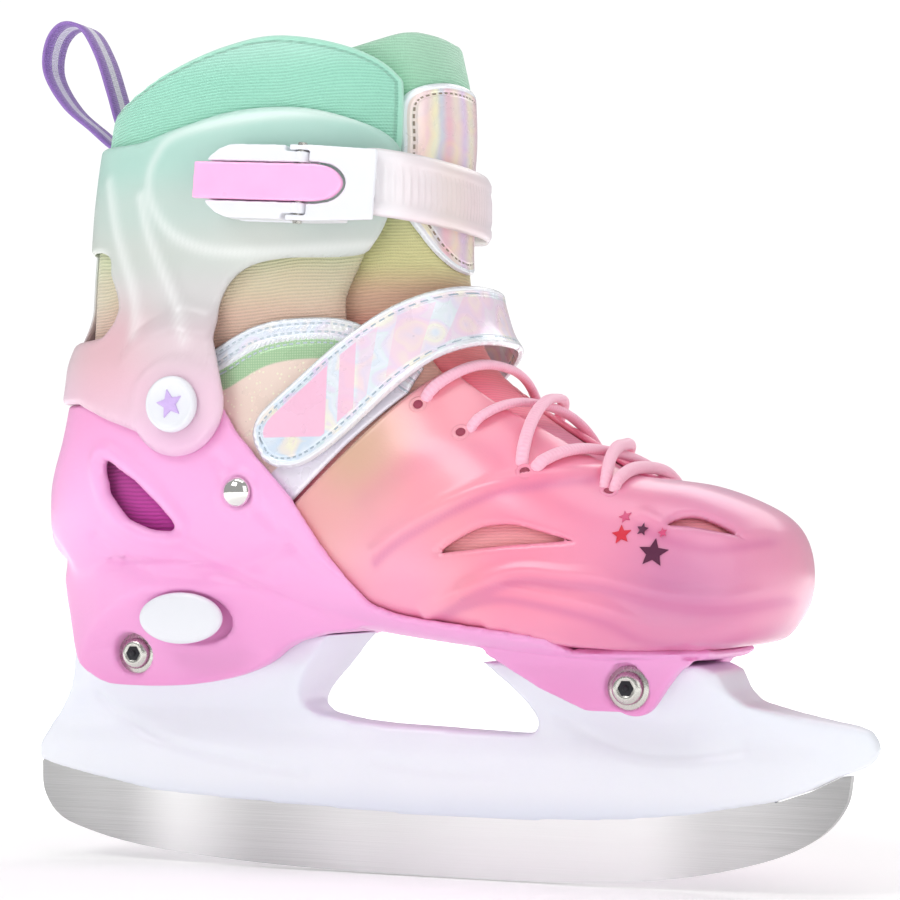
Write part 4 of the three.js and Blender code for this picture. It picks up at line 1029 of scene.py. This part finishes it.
def add_laces():
    look = lace_look()
    below = [(s - LACE_CLEAR, share) for s, share in EYELETS]
    above = [(s + LACE_CLEAR, share) for s, share in EYELETS]
    pieces = [("lace_bottom_row", below[0], -1, below[0], 1, .3)]
    for row in range(2):
        pieces.append((f"lace_cross_{row + 1}_under", above[row], 1, below[row + 1], -1, 0))
        pieces.append((f"lace_cross_{row + 1}_over", above[row], -1, below[row + 1], 1, 3.4))
    pieces.append(("lace_top_span", above[2], 1, EYELETS[3], -1, 0))
    for name, *route in pieces:
        obj = tube(name + "_cord", look, lace_path(*route), LACE_RADIUS, LACE_FLAT)
        place(obj, TOE, "lace_cord", name)


def add_eyelets():
    ring_look = toe_plastic()
    hole_look = plain_look("eyelet shadow", "A8485F", .8, "7E3046")
    ring = [(1.5, 2.4), (1.6, 3.1), (2.2, 3.26), (2.9, 3.1), (3.1, 2.6)]
    hole = [(1.7, 2.4), (1.66, 3.06), (.1, 3.08)]
    for row, (s, share) in enumerate(EYELETS, 1):
        for side_sign, word in ((-1, "outer"), (1, "inner")):
            turn = eyelet_turn(share, side_sign)
            spot, out = form_point(s, turn), form_normal(s, turn)
            spot = spot + out * toe_relief(np.array([spot]))[0]
            disc_on(f"eyelet_ring_{word}_{row}", ring_look, spot, out, ring, True)
            disc_on(f"eyelet_hole_{word}_{row}", hole_look, spot, out, hole)


def disc_on(name, look, spot, out, profile, ring=False, sides=28):
    """A profile of [radius, height] turned about the direction out at spot."""
    way = unit(np.cross(out, (0, 1, .2)))
    other = np.cross(out, way)
    turn = turns(sides)
    loop = np.cos(turn)[:, None] * way + np.sin(turn)[:, None] * other
    points = np.vstack([spot + out * h + loop * r for r, h in profile])
    return place(make(name, points, ring_faces(len(profile), sides, ring), look), TOE, "toe_plastic")


# ------------------------------------------------------------------ instep strap and side panels
def outline_values(outline, axes):
    """How far each point is from an outline in two axes, and how far along the outline."""
    return {"rim": lambda p: line_distance(p[:, axes], outline, True)[0],
            "trail": lambda p: line_distance(p[:, axes], outline, True)[1]}


def strap_lift(p):
    """How far out the instep strap lies: highest over the instep."""
    return STRAP_HIGH + (STRAP_LOW - STRAP_HIGH) * soft_step(24, 38, np.abs(p[:, 1]))


def strap_pattern(look, tone):
    """The strap's print: a pink corner at the tip, a pink bar, and pale slanting blocks."""
    x, z = look.axis("X"), look.axis("Z")
    inner = look.band(look.value("rim"), 4.1, 4.5)
    pink = look.tint("FAC3DE", look.noise(.1, 2), .5, "F8CCE2")
    corner = look.times(look.flip(look.band(x, -16.9, -16.4)),
                       look.band(z, 144.4, 144.9))
    bar = look.between(x, -12.4, -7.0, .2)
    lean = look.math("MULTIPLY_ADD", z, -.12, x)
    block = look.times(look.math("GREATER_THAN", look.wave(lean, 15.0), .3), look.band(x, -7.0, -5.0))
    tone = look.tint(tone, look.band(x, -17, -16), .35, "F7F7FA")
    tone = look.tint(tone, look.times(block, inner), .38, pink)
    return look.mix(look.times(look.math("MAXIMUM", corner, look.times(bar, .8)), inner),
                    tone, pink)


def add_instep_strap():
    outline = np.vstack([STRAP_UPPER, STRAP_LOWER])
    values = outline_values(outline, [0, 2])
    look = stitched_sheet("holographic strap sheet", 2.9, 1.7, "A8BAC8", strap_pattern)
    obj = shell("instep_strap_sheet", look, side(outline), strap_lift, lambda p: strap_lift(p) + STRAP_THICK,
                (6, 13), step=1.2, sides=230, rim=.9, rim_width=1.3, values=values)
    place(obj, TOE, "shiny_sheet", "instep_strap")


def panel_zones(look, tone):
    """The side panel: a silver band, a green mesh, a glitter field and a plain foot."""
    deep = look.value("rim_top")
    glitter = look.node("TexVoronoi", {"Vector": look.coords(), "Scale": .55}).outputs["Distance"]
    flakes = look.math("LESS_THAN", glitter, .22)
    beige = look.mix(look.noise(.06, 2), "F6E4DA", "EFD6C8")
    beige = look.tint(beige, flakes, .8, "FBF6DC")
    weave = look.times(look.wave(look.axis("X"), .85), look.wave(look.axis("Z"), .85))
    green = look.mix(look.flip(weave), "C6DCB8", "9CC498")
    low = look.flip(look.band(look.math("MULTIPLY_ADD", look.axis("X"), -.82,
                                                         look.axis("Z")), 163.5, 164.5))
    base = look.mix(look.band(deep, 13.3, 14.2), green, beige)
    base = look.mix(look.band(deep, 6.1, 6.9), look.mix(.6, tone, "E4E9F3"), base)
    return look.mix(low, base, look.mix(look.noise(.08, 2), "F6F4FB", "E9E3F3"))


def add_panels():
    zone = np.vstack([PANEL_TOP, [(8, 158), (-10.6, 142), (-35, 119.2), (-45, 110), (-52, 118), (-62, 150)]])
    values = {"rim": lambda p: np.minimum(line_distance(p[:, [0, 2]], PANEL_TOP)[0],
                                          np.abs(line_distance(p[:, [0, 2]], PANEL_TOP)[0] - 6.6) + .2),
              "trail": lambda p: line_distance(p[:, [0, 2]], PANEL_TOP)[1],
              "rim_top": lambda p: line_distance(p[:, [0, 2]], PANEL_TOP)[0]}
    look = stitched_sheet("side panel sheet", 2.0, .9, "C2D0DA", panel_zones)
    trim = lambda p: .7 * (1 - soft_step(6.3, 6.9, values["rim_top"](p)))
    for word, sign in (("outer", -1), ("inner", 1)):
        half = lambda p: sign * p[:, 1] - 10
        obj = shell(f"quarter_panel_{word}_sheet", look, both(side(zone), half), .8, lambda p: 2.2 + trim(p),
                    (7, 15), step=1.0, sides=290, rim=.6, rim_width=1, values=values)
        place(obj, TOE, "panel_sheet", f"quarter_panel_{word}")


# ------------------------------------------------------------------ cuff
CUFF_PAD = smooth_line([(-66, 247), (-79, 238), (-81, 226), (-74, 214), (-60, 207), (-40, 205.5), (-10, 207),
                        (6, 209), (10, 240), (-20, 250)], 6, True)
CUFF_RIDGES = [
    (smooth_line([(-84, 226), (-80.4, 212), (-74.6, 198), (-70.7, 188), (-66, 178)]), 1.2, 2.6),
    (smooth_line([(-98, 232), (-94, 214), (-88, 196), (-86, 180)]), .8, 3),
]


def cuff_low(p):
    """How far out the cuff's inner face lies: further where it covers the heel shell."""
    low = 1 - soft_step(168, 192, p[:, 2])
    near = 1 - soft_step(24, 34, np.hypot(p[:, 0] - ANKLE[0], p[:, 2] - ANKLE[1]))
    return 1 + 5.9 * np.maximum(low, near)


def cuff_wall(p):
    """The cuff's thickness."""
    return 2.6 - .8 * (1 - soft_step(-112, -98, p[:, 0]))


def cuff_relief(p):
    """The pad under the buckle, the disc round the ankle and the ridges."""
    pad = .8 * soft_step(-2.6, 2.6, inside_distance(p[:, [0, 2]], CUFF_PAD))
    disc = .7 * (1 - soft_step(15.4, 16.6, np.hypot(p[:, 0] - ANKLE[0], p[:, 2] - ANKLE[1])))
    return pad + disc + sum(height * ridge(p, line, width) for line, height, width in CUFF_RIDGES)


def cuff_glow(p):
    """1 along the edges that catch the light."""
    rim = np.exp(-((inside_distance(p[:, [0, 2]], CUFF_PAD) - .5) / 1.8) ** 2)
    return np.clip(rim + sum(ridge(p, line, width * .7) for line, _, width in CUFF_RIDGES), 0, 1)


def add_cuff():
    top = smooth_line([(2.5, 230), (1.5, 240), (-7, 246.5), (-26, 252), (-50, 252), (-72, 247.5), (-90, 244),
                       (-130, 247)])
    disc = circle_line(*ANKLE, 17, 210, 375, 20)
    front_edge = smooth_line([(-57, 178), (-56.5, 190), (-49, 199.5), (-36, 203.5), (-12, 204), (-6, 208),
                              (-1, 220), (2.5, 230)])
    outline = np.vstack([top, [(-150, 240), (-150, 157.5), (-108, 157), (-97, 152)], disc, front_edge])
    window = smooth_line([(-150, 209), (-104, 209), (-98, 200), (-95, 190), (-98, 182), (-106, 179),
                          (-150, 178)])
    spine = lambda p: 17 - np.abs(p[:, 1])
    shin = lambda p: np.minimum.reduce([20 - np.abs(p[:, 1]), p[:, 0] + 20, p[:, 2] - 150])
    region = both(side(outline), outside(both(side(window), outside(spine))), outside(shin))
    outer = lambda p: cuff_low(p) + cuff_wall(p) + cuff_relief(p)
    obj = shell("cuff_skin", cuff_plastic(), region, cuff_low, outer, (8.5, LAST), step=1.4, sides=230,
                rim=.9, rim_width=1.8, values={"ridge": cuff_glow})
    place(obj, CUFF, "cuff_plastic", "cuff")


# ------------------------------------------------------------------ heel shell, holder and blade
def push(obj, relief):
    """Moves a mesh's points out along its normals by relief, in millimetres, of the points."""
    mesh = obj.data
    count = len(mesh.vertices)
    p, n = np.empty(count * 3), np.empty(count * 3)
    mesh.vertices.foreach_get("co", p)
    mesh.vertices.foreach_get("normal", n)
    p, n = p.reshape(-1, 3), n.reshape(-1, 3)
    mesh.vertices.foreach_set("co", (p + n * (relief(p / MM, n) * MM)[:, None]).ravel())
    mesh.update()


def heel_relief(p, n):
    """The heel shell's lip round its vent, its grooves and struts, and the boss under the rivet."""
    vent = smooth_line([(-101, 139), (-99, 127), (-92, 118.5), (-83, 115), (-72, 114.5), (-78, 122),
                        (-88, 131)], 5, True)
    gap = -inside_distance(p[:, [0, 2]], vent)
    lip = 1.1 * np.exp(-((gap - 3) / 2.2) ** 2)
    sweep = -1.1 * ridge(p, smooth_line([(-106, 112), (-92, 103), (-70, 99), (-46, 103), (-30, 110)]), 3.2)
    strut = -.9 * ridge(p, smooth_line([(-56, 138), (-40, 121), (-20, 103), (0, 93)]), 2.6)
    strut += 1.0 * ridge(p, smooth_line([(-72, 112), (-60, 106), (-48, 101), (-36, 97)]), 2.4)
    boss = .9 * np.exp(-((np.hypot(p[:, 0] - DOME_RIVET[0], p[:, 2] - DOME_RIVET[1]) - 6.5) / 1.6) ** 2)
    facing = soft_step(.35, .75, np.abs(n[:, 1])) * (np.sign(n[:, 1]) == np.sign(p[:, 1]))
    high = soft_step(92, 98, p[:, 2])
    return (lip + sweep + strut + boss) * facing * high


HEEL_INNER, HEEL_OUTER = 3.4, 6.2
HOLDER_GROOVES = [
    (smooth_line([(-119, 57), (-113, 51), (-100, 44), (-82, 39), (-60, 35.5), (-42, 33)]), 1.0, 2.0),
    (smooth_line([(-14, 38), (0, 36), (14, 35.5), (30, 36)]), .5, 2.0),
    (smooth_line([(52, 54), (62, 48), (76, 43.5), (94, 43), (112, 46)]), .9, 2.2),
]


def holder_relief(p, n):
    depth = sum(depth * ridge(p, line, width) for line, depth, width in HOLDER_GROOVES)
    return -depth * soft_step(.3, .7, np.abs(n[:, 1]))


def rear_blend(p):
    """Where the heel shell's wall runs into its bracket, low at the rear."""
    rear = 1 - soft_step(-116, -104, p[:, 0])
    return rear * (1 - soft_step(128, 140, p[:, 2])) * soft_step(72, 84, p[:, 2])


def add_lower_half():
    heel = moulded("heel_shell_skin", "heel_shell", pink_plastic(), .95, 3,
                   [(HEEL_OUTER, 1), (HEEL_INNER, -1)], 2.0, rear_blend)
    push(heel, heel_relief)
    place(heel, CHASSIS, "pink_plastic", "heel_shell")
    holder = moulded("blade_holder_skin", "blade_holder", white_plastic(), 1.0, 9)
    push(holder, holder_relief)
    place(holder, CHASSIS, "white_plastic", "blade_holder")
    bevel(dress("blade", brushed_steel()), .35, 2)


# ------------------------------------------------------------------ bolts, rivets, star caps, size button
WASHER_SEAT, HEAD_SEAT, SHANK_START = 22.8, 23.4, -24.4  # out from the middle of the bracket
BUTTON_HALF = (15.5, 8.5)


def add_bolts():
    look = steel()
    dark = plain_look("socket shadow", "3C3C40", .5, "232326", Metallic=.8)
    for end, (x, z) in (("rear", REAR_BOLT), ("front", FRONT_BOLT)):
        profile = [(3, -.6), (4.9, -.6), (5.3, -.1), (5.3, 1.2), (4.9, 2.3), (3.9, 3.0), (2.95, 3.2),
                   (2.7, 3.0)]
        bolt = lathe(f"{end}_bolt_head", look, profile, (x, -HEAD_SEAT, z), -1)
        place(bolt, CHASSIS, "fitting_steel", f"{end}_bolt")
        socket = lathe(f"{end}_bolt_socket", dark, [(2.9, 1), (2.7, 3.02), (2.5, 3.05)],
                       (x, -HEAD_SEAT, z), -1, 6)
        place(socket, CHASSIS, "fitting_steel")
        pin = lathe(f"{end}_bolt_pin", dark, [(1.0, 2), (1.0, 3.5), (.6, 3.75)], (x, -HEAD_SEAT, z), -1, 24)
        place(pin, CHASSIS, "fitting_steel")
        shank = lathe(f"{end}_bolt_shank", look, [(3, 0), (3, 50.6), (2.7, 51)], (x, SHANK_START, z), 1, 32)
        place(shank, CHASSIS, "fitting_steel")
        for face, word in ((-1, "outer"), (1, "inner")):
            ring = [(3.4, 0), (6.9, 0), (7.05, .2), (7.05, .8), (6.8, 1), (3.4, 1)]
            washer = lathe(f"{end}_washer_{word}_ring", look, ring, (x, face * WASHER_SEAT, z), face)
            place(washer, CHASSIS, "fitting_steel", f"{end}_washer_{word}")
        bevel(dress(f"{end}_nut", look), .4, 2)


def star_outline(radius, lean):
    """A five-pointed star's ten corners, turned by lean degrees."""
    turn = np.radians(90 + lean) + turns(10)
    reach = np.where(np.arange(10) % 2 == 0, radius, radius * .46)
    return np.stack([reach * np.cos(turn), reach * np.sin(turn)], -1)


def add_star_caps():
    white, lavender = fitting_white(), plain_look("lavender star", "D0B6EA", .4, "BFA2E0")
    for sign, word in ((-1, "outer"), (1, "inner")):
        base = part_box(f"star_cap_{word}")
        near = (base[1].y if sign < 0 else base[0].y) / MM
        centre = (ANKLE[0], near, ANKLE[1])
        profile = [(8.2, 0), (9.1, .3), (9.4, 1.2), (9.2, 2.4), (8.6, 3.1), (7.9, 3.25), (7.3, 2.9),
                   (6.4, 2.7), (3, 2.65)]
        cap = lathe(f"star_cap_{word}_disc", white, profile, centre, sign)
        place(cap, CHASSIS, "white_plastic", f"star_cap_{word}")
        line = star_outline(5.4, 12)
        star_piece(f"star_cap_{word}_star", lavender, line, ANKLE, near + sign * 2.3, sign, 1.0)


def star_piece(name, look, line, centre, y, sign, thickness):
    """A raised star on a cap, crowned in the middle."""
    low = [(centre[0] + a, y, centre[1] + b) for a, b in line]
    high = [(centre[0] + a * .88, y + sign * thickness, centre[1] + b * .88) for a, b in line]
    count = len(line)
    middle = [(centre[0], y + sign * (thickness + .25), centre[1])]
    faces = [[k, (k + 1) % count, count + (k + 1) % count, count + k] for k in range(count)]
    faces += [[count + k, count + (k + 1) % count, 2 * count] for k in range(count)]
    faces.append(list(range(count))[::-1])
    if sign > 0:
        faces = [f[::-1] for f in faces]
    obj = make(name, low + high + middle, faces, look, smooth=False)
    bevel(obj, .25, 2, 25)
    return place(obj, CHASSIS, "white_plastic")


def add_dome_rivets():
    look = chrome()
    for sign, word in ((-1, "outer"), (1, "inner")):
        lo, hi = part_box(f"dome_rivet_{word}")
        y = (hi.y if sign < 0 else lo.y) / MM + sign * 2.6
        profile = [(2, -2), (4.9, 0), (5.1, .5), (4.9, 1.3)]
        profile += [(5 * math.cos(t), .6 + 3.2 * math.sin(t)) for t in np.radians([20, 35, 50, 65, 78, 86])]
        place(lathe(f"dome_rivet_{word}_head", look, profile, (DOME_RIVET[0], y, DOME_RIVET[1]), sign),
              CHASSIS, "chrome_dome", f"dome_rivet_{word}")


def add_size_button():
    lo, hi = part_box("size_button")
    cx, cz = (lo.x + hi.x) / 2 / MM, (lo.z + hi.z) / 2 / MM
    face = lo.y / MM
    profile = [(.5, 3.4), (.97, 3.2), (1, 2.2), (1, 1.2), (.97, .55), (.9, .15), (.8, 0), (.4, -.15)]
    sides = 72
    turn = turns(sides)
    points = np.vstack([np.stack([cx + BUTTON_HALF[0] * r * np.cos(turn), np.full(sides, face + h),
                                  cz + BUTTON_HALF[1] * r * np.sin(turn)], -1) for r, h in profile])
    cap = make("size_button_cap", points, ring_faces(len(profile), sides), fitting_white())
    place(cap, BUTTON, "white_plastic", "size_button")
    stem = lathe("size_button_stem", fitting_white(), [(2.5, 0), (2.5, 25.2), (2.1, 25.6)],
                 (cx, face + 3, cz), 1, 28)
    place(stem, BUTTON, "white_plastic")


def add_toe_stars():
    looks = {"red": plain_look("red star ink", "D8243C", .4, "C01C38"),
             "plum": plain_look("plum star ink", "5A1A40", .4, "481436"),
             "rose": plain_look("rose star ink", "D8507E", .4, "C43C70")}
    stars = [("red_large", "red", 84.6, 112.7, 3.0, 8), ("plum_large", "plum", 94.5, 107.1, 4.5, -6),
             ("rose_small_high", "rose", 84.7, 118.2, 1.9, 20), ("plum_small", "plum", 90.6, 114.1, 1.8, -10),
             ("rose_small_front", "rose", 96.6, 113.0, 1.4, 14)]
    tree = form_tree(TOE_OUTER)
    for name, ink, x, z, radius, lean in stars:
        line = star_outline(radius, lean)
        spots = []
        for k in range(len(line)):
            nxt = line[(k + 1) % len(line)]
            spots += [line[k], line[k] * .5 + nxt * .5]
        ring = [(x + a, z + b) for a, b in spots]
        points = []
        for lift in (.05, .3):
            for px, pz in ring + [(x, z)]:
                spot, normal, _, _ = tree.ray_cast(Vector((px, -120, pz)), Vector((0, 1, 0)))
                extra = toe_relief(np.array([[px, spot.y, pz]]))[0]
                out = normal if normal.y < 0 else -normal
                points.append(tuple(spot + out * (extra + lift)))
        count = len(ring)
        faces = [[count + 1 + k, count + 1 + (k + 1) % count, 2 * count + 1] for k in range(count)]
        faces += [[(k + 1) % count, k, count] for k in range(count)]
        faces += [[k, (k + 1) % count, count + 1 + (k + 1) % count, count + 1 + k] for k in range(count)]
        place(make(f"toe_star_{name}", points, faces, looks[ink], smooth=False), TOE, "toe_plastic")


# ------------------------------------------------------------------ buckle, strap, tongue tab and pull loop
STRAP_PATH = [(-2, -50.2), (6, -48.9), (13, -44), (18, -34), (20.8, -20), (20.8, -5), (18.6, 8), (14.5, 20),
              (8, 32), (-1, 41), (-14, 46), (-34, 47.4)]
STRAP_Z, STRAP_SLOPE, STRAP_HALF, STRAP_STEP, TOOTH_PITCH = 225.5, .15, 10.9, .45, 2.6


def add_buckle():
    white = fitting_white()
    place(moulded("buckle_base_body", "buckle_base", white, .42, 2), CUFF, "white_plastic", "buckle_base")
    place(moulded("buckle_lever_body", "buckle_lever", white, .42, 4), LEVER, "white_plastic", "buckle_lever")
    place(moulded("release_tab_body", "release_tab", tab_pink(), .4, 4), TAB, "tab_plastic", "release_tab")
    for node in ("lever_pin", "buckle_rivet", "strap_rivet"):
        bevel(dress(node, steel()), .3, 2)


def add_buckle_strap():
    line = smooth_line(STRAP_PATH, 24)
    legs = walked(line)
    run = np.arange(0, legs[-1], STRAP_STEP)
    path = np.stack([np.interp(run, legs, line[:, k]) for k in (0, 1)], -1)
    tangent = unit(np.gradient(path, axis=0))
    out = np.stack([tangent[:, 1], -tangent[:, 0]], -1)
    out *= np.where((out * (path - (-40, 0))).sum(1) > 0, 1, -1)[:, None]
    end = np.clip(run / 9, 0, 1)
    far = np.clip((legs[-1] - run) / 9, 0, 1)
    half = STRAP_HALF * np.sqrt(1 - (1 - end) ** 2 * .25) * np.sqrt(1 - (1 - far) ** 2 * .7)
    saw = (run / TOOTH_PITCH) % 1
    teeth = .55 * np.where(saw < .75, saw / .75, (1 - saw) / .25)
    section = [(-1, 0), (-.9, .75), (-.8, 1.2), (-.62, 1.2), (-.56, .9), (-.3, .9), (0, .9), (.3, .9),
               (.56, .9), (.62, 1.2), (.8, 1.2), (.9, .75), (1, 0), (.9, -.75), (.8, -1.1), (.3, -1.1),
               (-.3, -1.1), (-.8, -1.1), (-.9, -.75)]
    points = []
    for i in range(len(run)):
        for across, thick in section:
            ribbed = teeth[i] if abs(across) < .5 and thick > 0 else 0
            depth = thick + ribbed
            spot = path[i] + out[i] * depth
            points.append((spot[0], spot[1], STRAP_Z + across * half[i] - STRAP_SLOPE * spot[0]))
    obj = make("buckle_strap_band", points, ring_faces(len(run), len(section)), strap_look())
    recalc(obj)
    place(obj, STRAP, "strap_plastic", "buckle_strap")


def recalc(obj):
    """Turns every face outwards."""
    mesh = bmesh.new()
    mesh.from_mesh(obj.data)
    bmesh.ops.recalc_face_normals(mesh, faces=mesh.faces)
    mesh.to_mesh(obj.data)
    mesh.free()


def add_tongue_tab():
    half = [(0, 199.5), (8, 201), (15, 206.5), (21.5, 216), (25, 226), (26, 238), (26.6, 250), (25.4, 256.5),
            (21, 260), (12, 262), (0, 262.5)]
    outline = np.vstack([smooth_line(half), smooth_line(half)[::-1][1:-1] * (-1, 1)])
    values = outline_values(outline, [1, 2])

    def bands(look, tone):
        shift = look.math("MULTIPLY_ADD", look.noise(.03, 2), 5.0, look.axis("Y"))
        return look.mix(.75, tone, look.ramp(shift, [
            (-26, "DCCFC2"), (-23, "E9D0C6"), (-21, "F3E0D2"), (-18, "EFC9C8"), (-15, "F6EFC4"),
            (-13, "CFCFDA"), (-10, "EFB9C2"), (-6, "F4DCC8"), (-1, "E3C6E4"), (5, "F3E6C6"), (11, "EDBFC8"),
            (18, "E4D6D2"), (26, "DCCFC2")]))

    look = stitched_sheet("tongue tab sheet", 3.4, 1.8, "8E8070", bands)
    obj = shell("tongue_tab_sheet", look, front(outline), lambda p: tongue_rise(p) + .35,
                lambda p: tongue_rise(p) + 1.6, (9, LAST), step=1.2, sides=260, rim=.5, rim_width=.8,
                values=values)
    place(obj, CUFF, "shiny_sheet", "tongue_tab")


def add_pull_loop():
    route = smooth_line([(-112.5, 249), (-118.5, 250), (-128, 257.5), (-139.3, 267), (-147, 279.5),
                         (-146, 290.5), (-140, 296.2), (-131.7, 294), (-125, 283.5), (-120, 269.7),
                         (-116.2, 258), (-112, 252)], 12)
    count = len(route)
    path = np.stack([route[:, 0], np.zeros(count), route[:, 1]], -1)
    tangent = unit(np.gradient(path, axis=0))
    normal = np.stack([-tangent[:, 2], np.zeros(count), tangent[:, 0]], -1)
    across = np.array([-1, -.96, -.6, -.35, 0, .35, .6, .96, 1])
    thick = np.array([0, .62, .7, .7, .7, .7, .7, .62, 0])
    loop = list(zip(across, thick)) + list(zip(across[-2:0:-1], -thick[-2:0:-1]))
    half = 6.8
    sway = .5 * np.sin(np.linspace(0, 2 * math.pi, count))
    points, wide, along = [], [], []
    walk = walked(path)
    for i in range(count):
        for a, t in loop:
            points.append(path[i] + normal[i] * t + np.array((0, half * a + sway[i], 0)))
            wide.append(half * a)
            along.append(walk[i])
    obj = make("pull_loop_webbing", points, ring_faces(count, len(loop)), webbing_look(),
               {"wide": wide, "along": along})
    recalc(obj)
    place(obj, CUFF, "loop_webbing", "pull_loop")


def finish_carried_nodes():
    """Materials for the CAD nodes that stay as they are."""
    fitting = steel("fitting steel", "C2C1BB", .3)
    for node in ("rear_sleeve", "front_sleeve", "ankle_rivet_outer", "ankle_rivet_inner",
                 "size_button_spring", "rack_screw"):
        dress(node, fitting)
    dress("size_rack", plain_look("rack plastic", "5A5A62", .5, "4A4A52"))
    felt = plain_look("footbed felt", "EDEBE8", .95, "D8D4D0", .25, 1.6, Sheen_Weight=.4)
    dress("footbed", felt)


# ------------------------------------------------------------------ floor, light and camera
FLOOR_HALF, FLOOR_DROP = 6000, .4
FLOOR_GLOW, GLOW_NEAR, GLOW_FAR = .17, 150.0, 620.0
AMBIENT, BACKDROP = .42, 1.05
CAMERA_SPOT, CAMERA_TARGET = (.336, -.752, .108), (.009, 0, .1414)  # metres
CAMERA_LENS = 98.4
# Name, place, size and power, in metres and watts.
LAMPS = [
    ("key", (-.55, -1.1, 1.15), (.7, .5), 6.5),
    ("fill", (1.1, -.7, .6), (.8, .9), 2.6),
    ("back", (.2, 1.1, 1.0), (1.2, .6), 4.0),
    ("top", (0, -.1, 1.5), (1.2, .9), 5.5),
]


def floor_look():
    """A white floor that glows more with distance, so that it runs into the backdrop."""
    look = Look("studio floor", "FFFFFF", .6, Specular_IOR_Level=.2)
    look.set("Emission Color", (1, 1, 1, 1))
    far = look.node("VectorMath", {0: look.coords()}, operation="LENGTH").outputs["Value"]
    glow = look.node("MapRange", {"Value": far, "From Min": GLOW_NEAR, "From Max": GLOW_FAR,
                                  "To Min": FLOOR_GLOW, "To Max": 1.0},
                     interpolation_type="SMOOTHSTEP").outputs[0]
    look.set("Emission Strength", glow)
    return look.mat


def add_stage():
    corners = [(x * FLOOR_HALF, y * FLOOR_HALF, -FLOOR_DROP) for x, y in ((-1, -1), (1, -1), (1, 1), (-1, 1))]
    floor = make("floor", corners, [[0, 1, 2, 3]], floor_look())
    world = bpy.data.worlds.new("studio")
    bpy.context.scene.world = world
    world.use_nodes = True
    tree = world.node_tree
    back = tree.nodes["Background"]
    back.inputs["Color"].default_value = (1, 1, 1, 1)
    path = tree.nodes.new("ShaderNodeLightPath")
    level = tree.nodes.new("ShaderNodeMapRange")
    tree.links.new(path.outputs["Is Camera Ray"], level.inputs["Value"])
    level.inputs["To Min"].default_value = AMBIENT
    level.inputs["To Max"].default_value = BACKDROP
    tree.links.new(level.outputs[0], back.inputs["Strength"])
    for name, spot, size, power in LAMPS:
        data = bpy.data.lights.new(name, "AREA")
        data.shape = "RECTANGLE"
        data.size, data.size_y = size
        data.energy = power
        lamp = bpy.data.objects.new(name, data)
        bpy.context.collection.objects.link(lamp)
        lamp.location = spot
        lamp.rotation_mode = "QUATERNION"
        lamp.rotation_quaternion = (Vector((0, 0, .14)) - Vector(spot)).to_track_quat("-Z", "Y")


def add_camera():
    data = bpy.data.cameras.new("camera")
    data.lens = CAMERA_LENS
    data.sensor_width = 36
    data.clip_start = .05
    camera = bpy.data.objects.new("camera", data)
    bpy.context.collection.objects.link(camera)
    spot, target = Vector(CAMERA_SPOT), Vector(CAMERA_TARGET)
    camera.location = spot
    camera.rotation_mode = "QUATERNION"
    camera.rotation_quaternion = (target - spot).to_track_quat("-Z", "Y")
    bpy.context.scene.camera = camera


def main():
    bpy.context.scene.view_settings.view_transform = "Standard"
    add_camera()
    add_stage()
    add_lower_half()
    add_liner()
    add_tongue()
    add_toe_shell()
    add_laces()
    add_eyelets()
    add_instep_strap()
    add_panels()
    add_cuff()
    add_bolts()
    add_star_caps()
    add_dome_rivets()
    add_size_button()
    add_toe_stars()
    add_buckle()
    add_buckle_strap()
    add_tongue_tab()
    add_pull_loop()
    finish_carried_nodes()


main()
